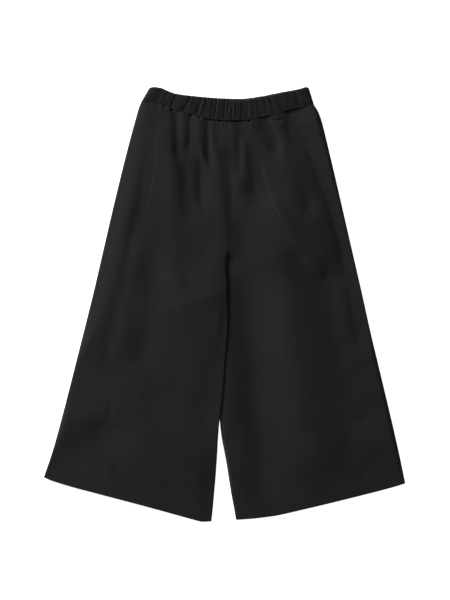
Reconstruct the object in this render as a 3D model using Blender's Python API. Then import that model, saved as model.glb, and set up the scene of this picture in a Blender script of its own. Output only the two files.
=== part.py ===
"""Wide cropped trousers with a gathered elastic waist, laid flat on their back on a level surface.

Blender 4.5, metres, +Z up. The waist lies toward +Y and the wearer's left leg toward +X. All sizes below are real
ones in millimetres. x runs across the garment, y runs up it from the middle of its length, z is the height above
the surface it lies on. Each leg is a flattened tube: a front panel on top and a back panel below, which meet at the
side seam and at the inseam. The inseam has rolled a little way onto the front, so the back panel wraps round the
inner edge of each leg. The waistband is a casing over elastic, front half and back half, drawn up in gathers.
"""
import math

import bpy

MM = 0.001
COLLECTION_NAME = "palazzo_trousers"

# ---- cloth and seams
CLOTH = 1.5                 # thickness of the wall
SEAM_GAP = 0.3              # space between two pieces at a seam
HALF_GAP = SEAM_GAP / 2

# ---- how the two layers of a leg lie on each other
SIDE_REACH = 6.0            # how far in from the side seam the rounded edge runs
INNER_REACH = 5.0           # the same at the inner edge of the leg
EASE = 3.0                  # how far the front stands off the back between its folds
SIDE_EASE_RUN = 26.0        # distance over which that ease builds up from the side seam
INNER_EASE_RUN = 30.0       # the same from the inner edge
WAIST_PINCH = 0.35          # share of the folds' height left at the waist seam
PINCH_RUN = 16.0            # distance below the waist seam over which they swell to full height

# ---- heights above the surface, along the leg
HEIGHT_COLUMNS = ("drop", "mid", "top")
HEIGHT_ROWS = (
    (0.0, 3.0, 5.0),
    (40.0, 2.4, 4.2),
    (90.0, 2.0, 3.6),
    (820.0, 2.0, 3.6),
)

# ---- crotch, and the inner edge of the right leg, which lies over the edge of the left leg
CROTCH_DROP = 258.8         # from the waist seam at centre front down to the crotch
JOIN_RUN = 54.0             # length over which the centre seams dip to meet at the crotch
LIFT = 6.0                  # height of the upper leg's edge where it lies on the other
LIFT_RUN = 42.0             # width of the strip that rises
LIFT_FULL = (283.0, 612.0)  # between these drops the strip is fully raised
LIFT_END = 700.0            # and here it is down on the surface again

# ---- plan of each leg, a row for each station down from the waist seam
# outer = side seam, inner = centre seam above the crotch and the leg's inner edge below it,
# roll = how far the inseam has rolled from that edge onto the front
LEG_COLUMNS = ("drop", "outer_x", "outer_y", "inner_x", "inner_y", "roll")
LEG_ROWS = {
    "right": (
        (0.0, -167.0, 403.9, 3.85, 367.7, 0.0),
        (15.0, -172.4, 389.9, 3.85, 352.7, 0.0),
        (35.0, -177.8, 371.1, 3.85, 332.7, 0.0),
        (70.0, -186.8, 338.5, 3.85, 297.7, 0.0),
        (140.0, -203.7, 272.9, 3.85, 227.7, 0.0),
        (258.8, -230.4, 161.8, 3.85, 108.9, 0.0),
        (283.0, -235.6, 139.2, 4.6, 84.7, 2.0),
        (330.0, -245.7, 95.2, 7.0, 37.7, 2.2),
        (400.0, -260.8, 29.7, 5.9, -32.3, 2.4),
        (480.0, -279.3, -45.1, 0.8, -112.3, 2.7),
        (560.0, -298.2, -120.0, -5.4, -192.3, 3.6),
        (620.0, -312.4, -176.1, -11.7, -252.3, 8.5),
        (680.0, -326.9, -232.2, -15.3, -312.3, 18.1),
        (745.0, -343.8, -293.0, -20.3, -377.3, 23.9),
        (803.0, -362.0, -347.1, -26.0, -435.1, 20.0),
    ),
    "left": (
        (0.0, 179.0, 398.9, 4.15, 367.7, 0.0),
        (15.0, 187.8, 384.7, 4.15, 352.7, 0.0),
        (35.0, 194.8, 365.7, 4.15, 332.7, 0.0),
        (70.0, 203.2, 332.5, 4.15, 297.7, 0.0),
        (140.0, 219.0, 266.2, 4.15, 227.7, 0.0),
        (258.8, 245.0, 153.6, 4.15, 108.9, 0.0),
        (283.0, 250.2, 130.7, 5.2, 84.7, 2.0),
        (330.0, 260.5, 86.1, 0.6, 37.7, 7.0),
        (400.0, 275.7, 19.8, -6.2, -32.3, 14.1),
        (480.0, 292.5, -56.0, -10.3, -112.3, 23.2),
        (560.0, 310.6, -131.8, -12.1, -192.3, 33.2),
        (620.0, 324.2, -188.7, -7.7, -252.3, 37.0),
        (680.0, 337.6, -245.6, 2.8, -312.3, 38.6),
        (745.0, 351.4, -307.2, 13.0, -377.3, 38.5),
        (803.0, 362.0, -359.1, 23.0, -432.1, 32.0),
    ),
}
# stations at which the cloth is lofted
LOFT_DROPS = (
    0.0, 5.0, 13.0, 24.0, 38.0, 56.0, 78.0, 104.0, 134.0, 168.0, 205.0, 238.0, 258.8, 283.0,
    309.0, 336.0, 366.0, 398.0, 434.0, 472.0, 516.0, 564.0, 612.0, 656.0, 704.0, 752.0, 803.0,
)

# ---- waist seam and hems
SEAM_COLUMNS = ("x", "y")
SEAM_ROWS = (
    (-167.0, 403.9), (-151.0, 403.0), (-129.0, 399.3), (-105.0, 390.7), (-89.0, 385.1), (-67.0, 379.2),
    (-49.0, 374.4), (-27.0, 369.6), (4.0, 367.7), (49.0, 368.9), (67.0, 372.9), (83.0, 376.1),
    (105.0, 381.2), (123.0, 387.0), (143.0, 392.0), (163.0, 396.6), (179.0, 398.9),
)
SEAM_BOW_RUN = 300.0        # the seam's dip dies out this far down the leg
HEM_COLUMNS = ("share", "drop")
HEM_ROWS = {
    "right": ((0.0, 0.0), (0.06, 3.0), (0.2, 4.4), (0.35, 4.4), (0.6, 4.6), (0.8, 5.4), (0.93, 6.0), (1.0, 0.0)),
    "left": ((0.0, 0.0), (0.08, 2.4), (0.32, 5.8), (0.6, 8.2), (0.74, 9.0), (0.85, 6.6), (1.0, 0.0)),
}
HEM_BOW_RUN = 260.0

# ---- folds of the front: three points on each fold's line, its half width, its height (minus for a trough)
FOLD_COLUMNS = ("name", "leg", "x0", "y0", "x1", "y1", "x2", "y2", "width", "height")
FOLD_ROWS = (
    ("trough inside side seam", "right", -165, 345, -183, 179, -199, 60, 14.0, -3.0),
    ("dark band", "right", -158, 125, -153, -21, -210, -165, 17.0, -3.6),
    ("ridge beside the band", "right", -172, 160, -189, 9, -242, -175, 15.0, 3.9),
    ("thin crease", "right", -127, 365, -140, 265, -154, 165, 7.0, 2.7),
    ("puff over the knee", "right", -143, 0, -75, 43, 10, 62, 30.0, 3.9),
    ("crease under the puff", "right", -150, -62, -93, -14, -8, 14, 13.0, -3.0),
    ("hollow near the hem", "right", -380, -262, -299, -277, -225, -296, 46.0, -3.0),
    ("soft crease low down", "right", -335, -368, -232, -318, -216, -180, 18.0, 2.1),
    ("waist gather 1", "right", -139, 430, -145, 377, -149, 335, 8.0, -2.7),
    ("waist gather 2", "right", -111, 440, -99, 297, -94, 170, 10.0, -4.8),
    ("waist gather 3", "right", -69, 430, -74, 349, -80, 290, 8.0, -3.6),
    ("waist gather 4", "right", -58, 430, -58, 339, -61, 250, 6.5, -3.0),
    ("waist gather 5", "right", -43, 430, -36, 329, -28, 255, 7.5, -4.2),
    ("lower gather", "right", -53, 290, -49, 229, -43, 175, 10.0, -2.4),
    ("waist gather 6", "right", -20, 430, -20, 349, -18, 295, 6.5, -2.7),
    ("centre front", "both", 4, 420, 2, 229, 5, 70, 8.0, -2.7),
    ("waist gather 7", "left", 21, 430, 21, 329, 24, 235, 8.0, -3.6),
    ("waist gather 8", "left", 33, 440, 39, 309, 54, 170, 9.0, -4.5),
    ("waist gather 9", "left", 71, 440, 83, 345, 98, 275, 8.0, -3.9),
    ("waist gather 10", "left", 101, 430, 107, 371, 112, 335, 7.0, -3.0),
    ("bright curved crease", "left", 73, 315, 97, 210, 155, 100, 8.0, 4.2),
    ("smile-shaped trough", "left", 118, 120, 175, 54, 222, 102, 14.0, -5.1),
    ("long sharp fold", "left", 115, 445, 193, 237, 263, -100, 12.0, -6.0),
    ("ridge beyond the long fold", "left", 148, 425, 220, 229, 281, -105, 14.0, 3.3),
    ("second band", "left", 115, 335, 141, 235, 166, 170, 13.0, -3.9),
    ("ridge between the two", "left", 150, 305, 159, 265, 171, 225, 8.0, 2.4),
    ("broad trough", "left", 172, 60, 195, -111, 254, -350, 28.0, -4.8),
    ("small dip near the hem", "left", 255, -306, 295, -299, 338, -288, 18.0, -1.8),
    ("band beside the inseam", "left", 12, -55, 43, -207, 66, -430, 16.0, -2.7),
)
FOLD_STEPS = 10             # straight pieces that each fold's curved line is measured by
FOLD_FADE = 0.18            # share of its length over which a fold dies out at each end

# ---- waistband: casing over elastic
BAND_FRONT_LEVEL = 3.75     # underside of the front half
BAND_BACK_LEVEL = 3.45      # upper side of the back half
BAND_THICKNESS = 3.4
BAND_END_REACH = 8.0        # rounded ends at the side seams
BAND_END_THICKNESS = 0.7
BAND_SCALLOP = 1.6          # the gathers wave the top edge by this much
BAND_TOP_COLUMNS = ("share", "y")
BAND_TOP_ROWS = (
    (0.0, 432.4), (0.022, 434.6), (0.066, 433.4), (0.135, 424.5), (0.192, 419.9), (0.318, 415.5),
    (0.443, 412.3), (0.569, 411.1), (0.695, 415.7), (0.821, 423.7), (0.947, 431.3), (0.985, 434.6), (1.0, 432.8),
)
BAND_BOTTOM_X = (-167.0, 179.0)
BAND_TOP_X = (-150.4, 168.6)
# a row for each furrow between two gathers: where it crosses the middle of the band, how far its top leans
# toward +X, how deep the gather after it stands
GATHER_COLUMNS = ("x", "lean", "depth")
GATHER_ROWS = (
    (-130.3, 0.0, 1.5), (-118.5, 1.0, 1.0), (-101.7, 0.0, 1.5), (-75.0, 6.0, 1.4), (-51.5, 4.0, 1.5),
    (-40.3, 2.5, 1.3), (-32.3, 0.5, 1.3), (-25.5, 0.0, 1.3), (-18.0, 0.5, 1.4), (-9.7, 1.0, 1.4),
    (-0.9, 0.0, 1.2), (6.3, -0.5, 1.4), (15.7, 0.0, 1.3), (24.5, 0.0, 1.5), (33.0, -0.5, 1.1),
    (39.3, 0.0, 1.2), (46.0, 0.5, 1.5), (56.5, -3.0, 1.4), (69.0, -4.0, 1.5), (82.0, -4.0, 1.2),
    (93.5, -5.0, 1.5), (114.5, -2.0, 1.4), (132.5, 1.0, 1.2), (144.5, -3.0, 1.5),
)
# section of the casing: height up the band, share of its thickness, share of the gather's depth
BAND_SECTION_COLUMNS = ("up", "thick", "relief")
BAND_SECTION_ROWS = (
    (0.0, 0.3, 0.0), (0.035, 0.74, 0.25), (0.13, 0.97, 0.85), (0.38, 1.0, 1.0), (0.64, 1.0, 1.0),
    (0.88, 0.97, 0.9), (0.965, 0.78, 0.45), (1.0, 0.32, 0.1), (0.975, 0.0, 0.0), (0.5, 0.0, 0.0), (0.025, 0.0, 0.0),
)

# ---- columns of the lofts, as arc lengths from the edges
SIDE_COLUMNS = (0.0, 1.8, 3.8, 6.6)
FRONT_INNER_COLUMNS = (9.0, 5.5, 2.5, 0.0)
FRONT_MIDDLE_COLUMNS = 30
BACK_MIDDLE_COLUMNS = 10
# back panel, from the edge: under it (minus) and round onto the front, flat above the crotch and rolled below it
BACK_FLAT_COLUMNS = (-12.0, -9.5, -7.5, -5.8, -4.4, -3.2, -2.1, -1.0, 0.0)
BACK_ROLLED_COLUMNS = (-12.0, -8.0, -4.8, -2.3, 0.0, 2.3, 4.8)
ROLL_FULL = 8.0

CLOTH_COLOUR = (0.0160, 0.0160, 0.0166, 1.0)
BAND_COLOUR = (0.0150, 0.0150, 0.0156, 1.0)
CLOTH_ROUGHNESS = 0.82


# ------------------------------------------------------------------ numbers

def smoothstep(value):
    """0 below 0, 1 above 1, an even S between them."""
    value = min(1.0, max(0.0, value))
    return value * value * (3.0 - 2.0 * value)


def slope_at(rows, column, i):
    """Slope of a table's smooth curve at row i, never overshooting its neighbours."""
    last = len(rows) - 1
    before = after = None
    if i > 0:
        before = (rows[i][column] - rows[i - 1][column]) / (rows[i][0] - rows[i - 1][0])
    if i < last:
        after = (rows[i + 1][column] - rows[i][column]) / (rows[i + 1][0] - rows[i][0])
    if before is None:
        return after
    if after is None:
        return before
    if before * after <= 0.0:
        return 0.0
    return 2.0 * before * after / (before + after)


def read_table(rows, column, at):
    """Value of a column of a table on a smooth curve through its rows; the first column is the position."""
    if at <= rows[0][0]:
        return rows[0][column]
    if at >= rows[-1][0]:
        return rows[-1][column]
    i = 0
    while at > rows[i + 1][0]:
        i += 1
    run = rows[i + 1][0] - rows[i][0]
    t = (at - rows[i][0]) / run
    start_slope = slope_at(rows, column, i) * run
    end_slope = slope_at(rows, column, i + 1) * run
    rise = rows[i + 1][column] - rows[i][column]
    return (rows[i][column] + t * start_slope
            + t * t * (3.0 * rise - 2.0 * start_slope - end_slope)
            + t * t * t * (start_slope + end_slope - 2.0 * rise))


def edge_arc(along, reach, rise):
    """Point at a length along a rounded edge, from its rim: how far in, how far up, and the angle turned."""
    quarter = 0.5 * math.pi * math.sqrt((reach * reach + rise * rise) / 2.0)
    if along >= quarter:
        return reach + along - quarter, rise, 0.5 * math.pi
    angle = 0.5 * math.pi * along / quarter
    return reach * (1.0 - math.cos(angle)), rise * math.sin(angle), angle


# ------------------------------------------------------------------ folds

def fold_line(row):
    """Points of a fold's curved line, which passes through its three given points."""
    x0, y0, x1, y1, x2, y2 = row[2:8]
    cx = 2.0 * x1 - 0.5 * (x0 + x2)
    cy = 2.0 * y1 - 0.5 * (y0 + y2)
    points = []
    for i in range(FOLD_STEPS + 1):
        t = i / FOLD_STEPS
        a = (1.0 - t) * (1.0 - t)
        b = 2.0 * t * (1.0 - t)
        c = t * t
        points.append((a * x0 + b * cx + c * x2, a * y0 + b * cy + c * y2))
    return points


FOLD_LINES = [(row[1], fold_line(row), row[8], row[9]) for row in FOLD_ROWS]


def distance_to_line(points, x, y):
    """Distance from a point to a fold's line, and the share of the line's length at the nearest place."""
    best, share = 1e9, 0.0
    for i in range(len(points) - 1):
        ax, ay = points[i]
        bx, by = points[i + 1]
        dx, dy = bx - ax, by - ay
        t = ((x - ax) * dx + (y - ay) * dy) / (dx * dx + dy * dy)
        t = min(1.0, max(0.0, t))
        away = math.hypot(x - ax - t * dx, y - ay - t * dy)
        if away < best:
            best = away
            share = (i + t) / (len(points) - 1)
    return best, share


def fold_height(side, x, y):
    """Height of the front above its resting level: its ease, and the ridges and troughs that cross the place."""
    height = EASE
    for leg, points, width, depth in FOLD_LINES:
        if leg not in (side, "both"):
            continue
        away, share = distance_to_line(points, x, y)
        if away > 2.6 * width:
            continue
        fade = smoothstep(share / FOLD_FADE) * smoothstep((1.0 - share) / FOLD_FADE)
        height += depth * fade * math.exp(-(away / width) ** 2)
    return 0.25 * math.log(1.0 + math.exp(min(60.0, height / 0.25)))


def blended_folds(x, y, drop, side):
    """Folds of one leg, which run on into the other leg's above the crotch."""
    own = fold_height(side, x, y)
    if drop > CROTCH_DROP:
        return own
    other = fold_height("left" if side == "right" else "right", x, y)
    share = smoothstep(0.5 + (x - 4.0) / 24.0)
    left, right = (own, other) if side == "left" else (other, own)
    return left * share + right * (1.0 - share)


# ------------------------------------------------------------------ leg panels

class Station:
    """A leg's measures at one drop below the waist seam."""

    def __init__(self, side, drop):
        rows = LEG_ROWS[side]
        self.side = side
        self.drop = drop
        self.length = rows[-1][0]
        self.outer = (read_table(rows, 1, drop), read_table(rows, 2, drop))
        self.inner = (read_table(rows, 3, drop), read_table(rows, 4, drop))
        self.roll = read_table(rows, 5, drop)
        self.chord = math.hypot(self.inner[0] - self.outer[0], self.inner[1] - self.outer[1])
        self.mid = read_table(HEIGHT_ROWS, 1, drop)
        self.top = read_table(HEIGHT_ROWS, 2, drop)
        self.join = smoothstep((drop - CROTCH_DROP + JOIN_RUN) / JOIN_RUN)
        apart = (self.top * (1.0 - self.join) - 2.0 * SEAM_GAP) / (2.0 * CLOTH)
        self.turned = math.sqrt(1.0 - min(1.0, max(0.0, apart)) ** 2)
        self.inward = math.copysign(1.0, self.inner[0] - self.outer[0])

    def plan(self, across):
        """Place in plan at a distance in from the side edge."""
        share = across / self.chord
        x = self.outer[0] + (self.inner[0] - self.outer[0]) * share
        y = self.outer[1] + (self.inner[1] - self.outer[1]) * share
        waist = (1.0 - self.drop / SEAM_BOW_RUN) ** 2 if self.drop < SEAM_BOW_RUN else 0.0
        if waist > 0.0:
            first = LEG_ROWS[self.side][0]
            seam_x = first[1] + (first[3] - first[1]) * share
            seam_y = first[2] + (first[4] - first[2]) * share
            y += (read_table(SEAM_ROWS, 1, seam_x) - seam_y) * waist
        below = self.drop - (self.length - HEM_BOW_RUN)
        if below > 0.0:
            y -= read_table(HEM_ROWS[self.side], 1, share) * (below / HEM_BOW_RUN) ** 2
        return x, y

    def lift(self, from_inner):
        """Rise of the right leg's inner strip onto the edge of the left leg."""
        if self.side != "right":
            return 0.0
        strip = 1.0 - smoothstep(from_inner / LIFT_RUN)
        rise = smoothstep((self.drop - CROTCH_DROP) / (LIFT_FULL[0] - CROTCH_DROP))
        fall = 1.0 - smoothstep((self.drop - LIFT_FULL[1]) / (LIFT_END - LIFT_FULL[1]))
        return LIFT * strip * rise * fall

    def ease_share(self, across):
        """Share of the folds' height at a place, less near the edges and at the waist seam."""
        side = smoothstep(across / SIDE_EASE_RUN)
        inner = 1.0 - self.join * (1.0 - smoothstep((self.chord - across) / INNER_EASE_RUN))
        pinch = WAIST_PINCH + (1.0 - WAIST_PINCH) * smoothstep(self.drop / PINCH_RUN)
        return side * inner * pinch

    def front_height(self, across, x, y):
        """Height added to the front's resting level."""
        return blended_folds(x, y, self.drop, self.side) * self.ease_share(across)

    def wall(self, across, z, turn, up):
        """Outer and inner point of the wall where its face has turned by an angle from the rim."""
        x, y = self.plan(across)
        if up:
            z += self.front_height(across, x, y)
        z += self.lift(self.chord - across)
        near_side = across < 0.5 * self.chord
        level = math.cos(turn) * (1.0 if near_side else self.turned)
        steep = math.sqrt(1.0 - level * level) * (1.0 if up else -1.0)
        outward = -self.inward if near_side else self.inward
        along = ((self.inner[0] - self.outer[0]) / self.chord, (self.inner[1] - self.outer[1]) / self.chord)
        out = outward * self.inward * level
        inner = (x - CLOTH * out * along[0], y - CLOTH * out * along[1], z - CLOTH * steep)
        return (x, y, z), inner

    def near_side(self, along, up):
        """Wall point at an arc length from the side seam."""
        middle = self.mid + (HALF_GAP if up else -HALF_GAP)
        reach, rise, turn = edge_arc(along, SIDE_REACH, (self.top - middle) if up else middle)
        return self.wall(reach, middle + (rise if up else -rise), turn, up)

    def near_inner(self, along):
        """Wall point at an arc length from the inner edge, above it (plus) or under it (minus)."""
        up = along > 0.0
        if up:
            reach, rise, turn = edge_arc(along, INNER_REACH, (self.top - self.mid) * self.join)
            z = self.top - (self.top - self.mid) * self.join + rise
        else:
            reach, rise, turn = edge_arc(-along, INNER_REACH, self.mid * self.join)
            z = self.mid * self.join - rise
        return self.wall(self.chord - reach, z, turn, up)

    def reach_of(self, along, at_side):
        """How far in from an edge an arc length on the upper layer comes."""
        if at_side:
            return edge_arc(along, SIDE_REACH, self.top - self.mid)[0]
        return edge_arc(along, INNER_REACH, (self.top - self.mid) * self.join)[0]


def waist_set_back(points, station):
    """Shifts the top row of a panel down by half the seam gap."""
    if station.drop > 0.0:
        return points
    return [((a[0], a[1] - HALF_GAP, a[2]), (b[0], b[1] - HALF_GAP, b[2])) for a, b in points]


def front_row(station):
    """Wall points of the front panel at a station, from the side seam to the centre seam or inseam."""
    row = [station.near_side(along, True) for along in SIDE_COLUMNS]
    end = station.roll + HALF_GAP * station.join
    start = station.reach_of(SIDE_COLUMNS[-1], True)
    stop = station.chord - station.reach_of(end + FRONT_INNER_COLUMNS[0], False)
    for k in range(1, FRONT_MIDDLE_COLUMNS + 1):
        share = k / (FRONT_MIDDLE_COLUMNS + 1)
        share = 1.0 - (1.0 - share) ** 1.12
        row.append(station.wall(start + (stop - start) * share, station.top, 0.5 * math.pi, True))
    for along in FRONT_INNER_COLUMNS:
        row.append(station.near_inner(max(end + along, 1e-6)))
    return waist_set_back(row, station)


def back_row(station):
    """Wall points of the back panel at a station, from the side seam under the leg and round its inner edge."""
    row = [station.near_side(along, False) for along in SIDE_COLUMNS]
    roll = max(0.0, station.roll)
    rolled = min(1.0, roll / ROLL_FULL)
    full = max(roll, ROLL_FULL)
    target = list(BACK_ROLLED_COLUMNS) + [0.5 * (BACK_ROLLED_COLUMNS[-1] + full), full]
    last = [flat + (bent - flat) * rolled for flat, bent in zip(BACK_FLAT_COLUMNS, target)]
    last = [along - HALF_GAP * station.join * (k + 1) / len(last) for k, along in enumerate(last)]
    start = station.reach_of(SIDE_COLUMNS[-1], True)
    stop = station.chord + last[0] - 2.0
    for k in range(1, BACK_MIDDLE_COLUMNS + 1):
        share = k / (BACK_MIDDLE_COLUMNS + 1)
        row.append(station.wall(start + (stop - start) * share, 0.0, 0.5 * math.pi, False))
    for along in last:
        row.append(station.near_inner(along))
    return waist_set_back(row, station)


def panel_mesh(rows):
    """Closed wall through rows of outer and inner points."""
    count = len(rows[0])
    vertices = [point[0] for row in rows for point in row] + [point[1] for row in rows for point in row]
    inner = len(rows) * count
    faces = []
    for i in range(len(rows) - 1):
        for j in range(count - 1):
            a, b = i * count + j, i * count + j + 1
            c, d = a + count, b + count
            faces.append((a, b, d, c))
            faces.append((inner + a, inner + c, inner + d, inner + b))
    for j in range(count - 1):
        top, bottom = j, (len(rows) - 1) * count + j
        faces.append((top, inner + top, inner + top + 1, top + 1))
        faces.append((bottom, bottom + 1, inner + bottom + 1, inner + bottom))
    for i in range(len(rows) - 1):
        first, last = i * count, i * count + count - 1
        faces.append((first, first + count, inner + first + count, inner + first))
        faces.append((last, inner + last, inner + last + count, last + count))
    return vertices, faces


# ------------------------------------------------------------------ waistband

def band_columns(rows, per_gather):
    """Columns along the band: place at mid-height, lean of the column, height of the gather there."""
    middle = [0.5 * (BAND_BOTTOM_X[k] + BAND_TOP_X[k]) for k in (0, 1)]
    columns = []
    for reach in (0.0, 1.2, 3.4, 6.4):
        columns.append((middle[0] + reach, 0.0, 0.9))
    x, lean, depth = rows[0]
    for share in (0.45, 0.75):
        columns.append((middle[0] + 6.4 + (x - middle[0] - 6.4) * share, lean * share, 1.0 - 0.3 * share))
    for i, (x, lean, depth) in enumerate(rows):
        columns.append((x, lean, -depth))
        if i + 1 < len(rows):
            next_x, next_lean = rows[i + 1][0], rows[i + 1][1]
        else:
            next_x, next_lean = middle[1] - 6.4, 0.0
        for k in range(1, per_gather):
            share = k / per_gather
            swell = math.sin(math.pi * share) ** 0.7
            columns.append((x + (next_x - x) * share, lean + (next_lean - lean) * share, -depth * (1.0 - swell)))
    for reach in (6.4, 3.4, 1.2, 0.0):
        columns.append((middle[1] - reach, 0.0, -0.1))
    return [(x, lean, min(0.0, relief)) for x, lean, relief in columns]


def band_mesh(rows, per_gather, front):
    """Closed casing of one half of the waistband, lofted along the waist."""
    middle = [0.5 * (BAND_BOTTOM_X[k] + BAND_TOP_X[k]) for k in (0, 1)]
    loops = []
    for x, lean, relief in band_columns(rows, per_gather):
        share = (x - middle[0]) / (middle[1] - middle[0])
        bottom_share = min(1.0, max(0.0, (x - 0.5 * lean - middle[0]) / (middle[1] - middle[0])))
        top_share = min(1.0, max(0.0, (x + 0.5 * lean - middle[0]) / (middle[1] - middle[0])))
        bottom_x = BAND_BOTTOM_X[0] + (BAND_BOTTOM_X[1] - BAND_BOTTOM_X[0]) * bottom_share
        top_x = BAND_TOP_X[0] + (BAND_TOP_X[1] - BAND_TOP_X[0]) * top_share
        bottom_y = read_table(SEAM_ROWS, 1, bottom_x) + HALF_GAP
        top_y = read_table(BAND_TOP_ROWS, 1, top_share) + BAND_SCALLOP * relief / 1.5
        from_end = min(x - middle[0], middle[1] - x)
        end = min(1.0, from_end / BAND_END_REACH)
        swell = math.sqrt(max(0.0, 1.0 - (1.0 - end) ** 2))
        full = BAND_FRONT_LEVEL + BAND_THICKNESS if front else 0.0
        level = BAND_FRONT_LEVEL if front else BAND_BACK_LEVEL
        thickness = BAND_END_THICKNESS + (abs(full - level) - BAND_END_THICKNESS) * swell
        away = 1.0 if front else -1.0
        loop = []
        for up, thick, share_of_relief in BAND_SECTION_ROWS:
            place_x = bottom_x + (top_x - bottom_x) * up
            place_y = bottom_y + (top_y - bottom_y) * up
            out = thickness * thick + relief * share_of_relief * swell
            loop.append((place_x, place_y, level + away * out))
        loops.append(loop)
    count = len(BAND_SECTION_ROWS)
    vertices = [point for loop in loops for point in loop]
    faces = []
    for i in range(len(loops) - 1):
        for j in range(count):
            a, b = i * count + j, i * count + (j + 1) % count
            faces.append((a, a + count, b + count, b))
    faces.append(tuple(range(count)))
    faces.append(tuple(reversed(range((len(loops) - 1) * count, len(loops) * count))))
    return vertices, faces


# ------------------------------------------------------------------ objects

def fresh_collection(name):
    """Collection of this name, in the scene."""
    collection = bpy.data.collections.get(name) or bpy.data.collections.new(name)
    if collection.name not in bpy.context.scene.collection.children:
        bpy.context.scene.collection.children.link(collection)
    return collection


def cloth_material(name, colour):
    """Matt black woven cloth."""
    material = bpy.data.materials.new(name)
    material.use_nodes = True
    shader = material.node_tree.nodes["Principled BSDF"]
    shader.inputs["Base Color"].default_value = colour
    shader.inputs["Roughness"].default_value = CLOTH_ROUGHNESS
    shader.inputs["Metallic"].default_value = 0.0
    material.diffuse_color = colour
    return material


def add_object(name, vertices, faces, colour, collection):
    """Object whose faces all point out of its solid."""
    mesh = bpy.data.meshes.new(name)
    mesh.from_pydata([tuple(MM * value for value in point) for point in vertices], [], faces)
    mesh.validate()
    volume = 0.0
    mesh.calc_loop_triangles()
    for triangle in mesh.loop_triangles:
        a, b, c = (mesh.vertices[i].co for i in triangle.vertices)
        volume += a.dot(b.cross(c)) / 6.0
    if volume < 0.0:
        mesh.flip_normals()
    mesh.update()
    thing = bpy.data.objects.new(name, mesh)
    mesh.materials.append(cloth_material(name + "_cloth", colour))
    collection.objects.link(thing)
    print(name, "triangles", len(mesh.loop_triangles), "volume cm3", round(abs(volume) * 1e6, 1))
    return thing


def centre_on_origin(things):
    """Puts the middle of the whole garment's outline over the origin and its lowest point at zero."""
    low = [min(v.co[k] for thing in things for v in thing.data.vertices) for k in range(3)]
    high = [max(v.co[k] for thing in things for v in thing.data.vertices) for k in range(3)]
    shift = (-0.5 * (low[0] + high[0]), -0.5 * (low[1] + high[1]), -low[2])
    for thing in things:
        for vertex in thing.data.vertices:
            for k in range(3):
                vertex.co[k] += shift[k]
        thing.data.update()
    print("moved by mm", [round(1000.0 * value, 3) for value in shift])
    print("size mm", [round(1000.0 * (high[k] - low[k]), 1) for k in range(3)])


def build():
    """Builds the garment's six pieces."""
    for thing in list(bpy.data.objects):
        bpy.data.objects.remove(thing, do_unlink=True)
    collection = fresh_collection(COLLECTION_NAME)
    things = []
    for side in ("right", "left"):
        stations = [Station(side, min(drop, LEG_ROWS[side][-1][0])) for drop in LOFT_DROPS]
        vertices, faces = panel_mesh([front_row(station) for station in stations])
        things.append(add_object("front_" + side + "_leg", vertices, faces, CLOTH_COLOUR, collection))
        vertices, faces = panel_mesh([back_row(station) for station in stations])
        things.append(add_object("back_" + side + "_leg", vertices, faces, CLOTH_COLOUR, collection))
    vertices, faces = band_mesh(GATHER_ROWS, 4, True)
    things.append(add_object("waistband_front", vertices, faces, BAND_COLOUR, collection))
    back_rows = sorted((8.0 - x, -lean, depth) for x, lean, depth in GATHER_ROWS)
    vertices, faces = band_mesh(back_rows, 3, False)
    things.append(add_object("waistband_back", vertices, faces, BAND_COLOUR, collection))
    centre_on_origin(things)


build()
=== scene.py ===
# %% [markdown]
# # Wide cropped trousers, laid flat
# The garment lies on its back on a pale surface: two wide legs of matt black cloth, each a front panel on a back
# panel, and a waistband drawn up on elastic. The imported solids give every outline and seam. This lesson dresses
# them: each solid is replaced by a thin shell of cloth with the same edges, finer folds and a woven finish.

# %% Frame
import math

import bpy
import numpy as np
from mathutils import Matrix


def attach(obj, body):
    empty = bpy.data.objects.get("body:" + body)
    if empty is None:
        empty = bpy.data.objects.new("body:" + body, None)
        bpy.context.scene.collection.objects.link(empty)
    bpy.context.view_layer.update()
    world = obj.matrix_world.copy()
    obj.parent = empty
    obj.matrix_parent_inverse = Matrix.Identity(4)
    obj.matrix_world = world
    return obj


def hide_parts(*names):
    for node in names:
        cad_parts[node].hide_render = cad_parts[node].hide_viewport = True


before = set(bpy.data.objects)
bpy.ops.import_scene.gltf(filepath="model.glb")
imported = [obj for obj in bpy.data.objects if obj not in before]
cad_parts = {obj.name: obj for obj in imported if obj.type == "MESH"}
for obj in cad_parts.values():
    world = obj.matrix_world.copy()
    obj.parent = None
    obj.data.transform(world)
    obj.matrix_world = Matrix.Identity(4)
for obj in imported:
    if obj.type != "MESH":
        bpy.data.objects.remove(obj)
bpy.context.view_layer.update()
MM = 0.001
QUICK = 1

# %% [markdown]
# ## Camera
# The photo looks straight down on the garment from far away, so the camera hangs over the middle of the frame with
# a long lens. At the height of the cloth one pixel of the picture covers two millimetres.

# %% Camera
PIXEL, PICTURE_ROWS = 2.0 * MM, 600
CAMERA_HEIGHT, CLOTH_LEVEL, FARTHEST = 3.4, 0.006, 30.0
PICTURE_CENTRE = (0.0010, 0.0087)
SENSOR = 24.0


def put_in_scene(name, data):
    """A new object at the origin of the scene."""
    thing = bpy.data.objects.new(name, data)
    bpy.context.scene.collection.objects.link(thing)
    return thing


def hang_camera():
    """Camera over the garment, looking straight down with +Y up in the picture; returns its lens."""
    data = bpy.data.cameras.new("overhead_camera")
    data.sensor_fit = "VERTICAL"
    data.sensor_height = SENSOR
    data.lens = SENSOR * (CAMERA_HEIGHT - CLOTH_LEVEL) / (PIXEL * PICTURE_ROWS)
    data.clip_end = FARTHEST
    camera = put_in_scene("overhead_camera", data)
    camera.location = (*PICTURE_CENTRE, CAMERA_HEIGHT)
    bpy.context.scene.camera = camera
    return data.lens


print("lens, mm:", round(hang_camera(), 1))

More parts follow.
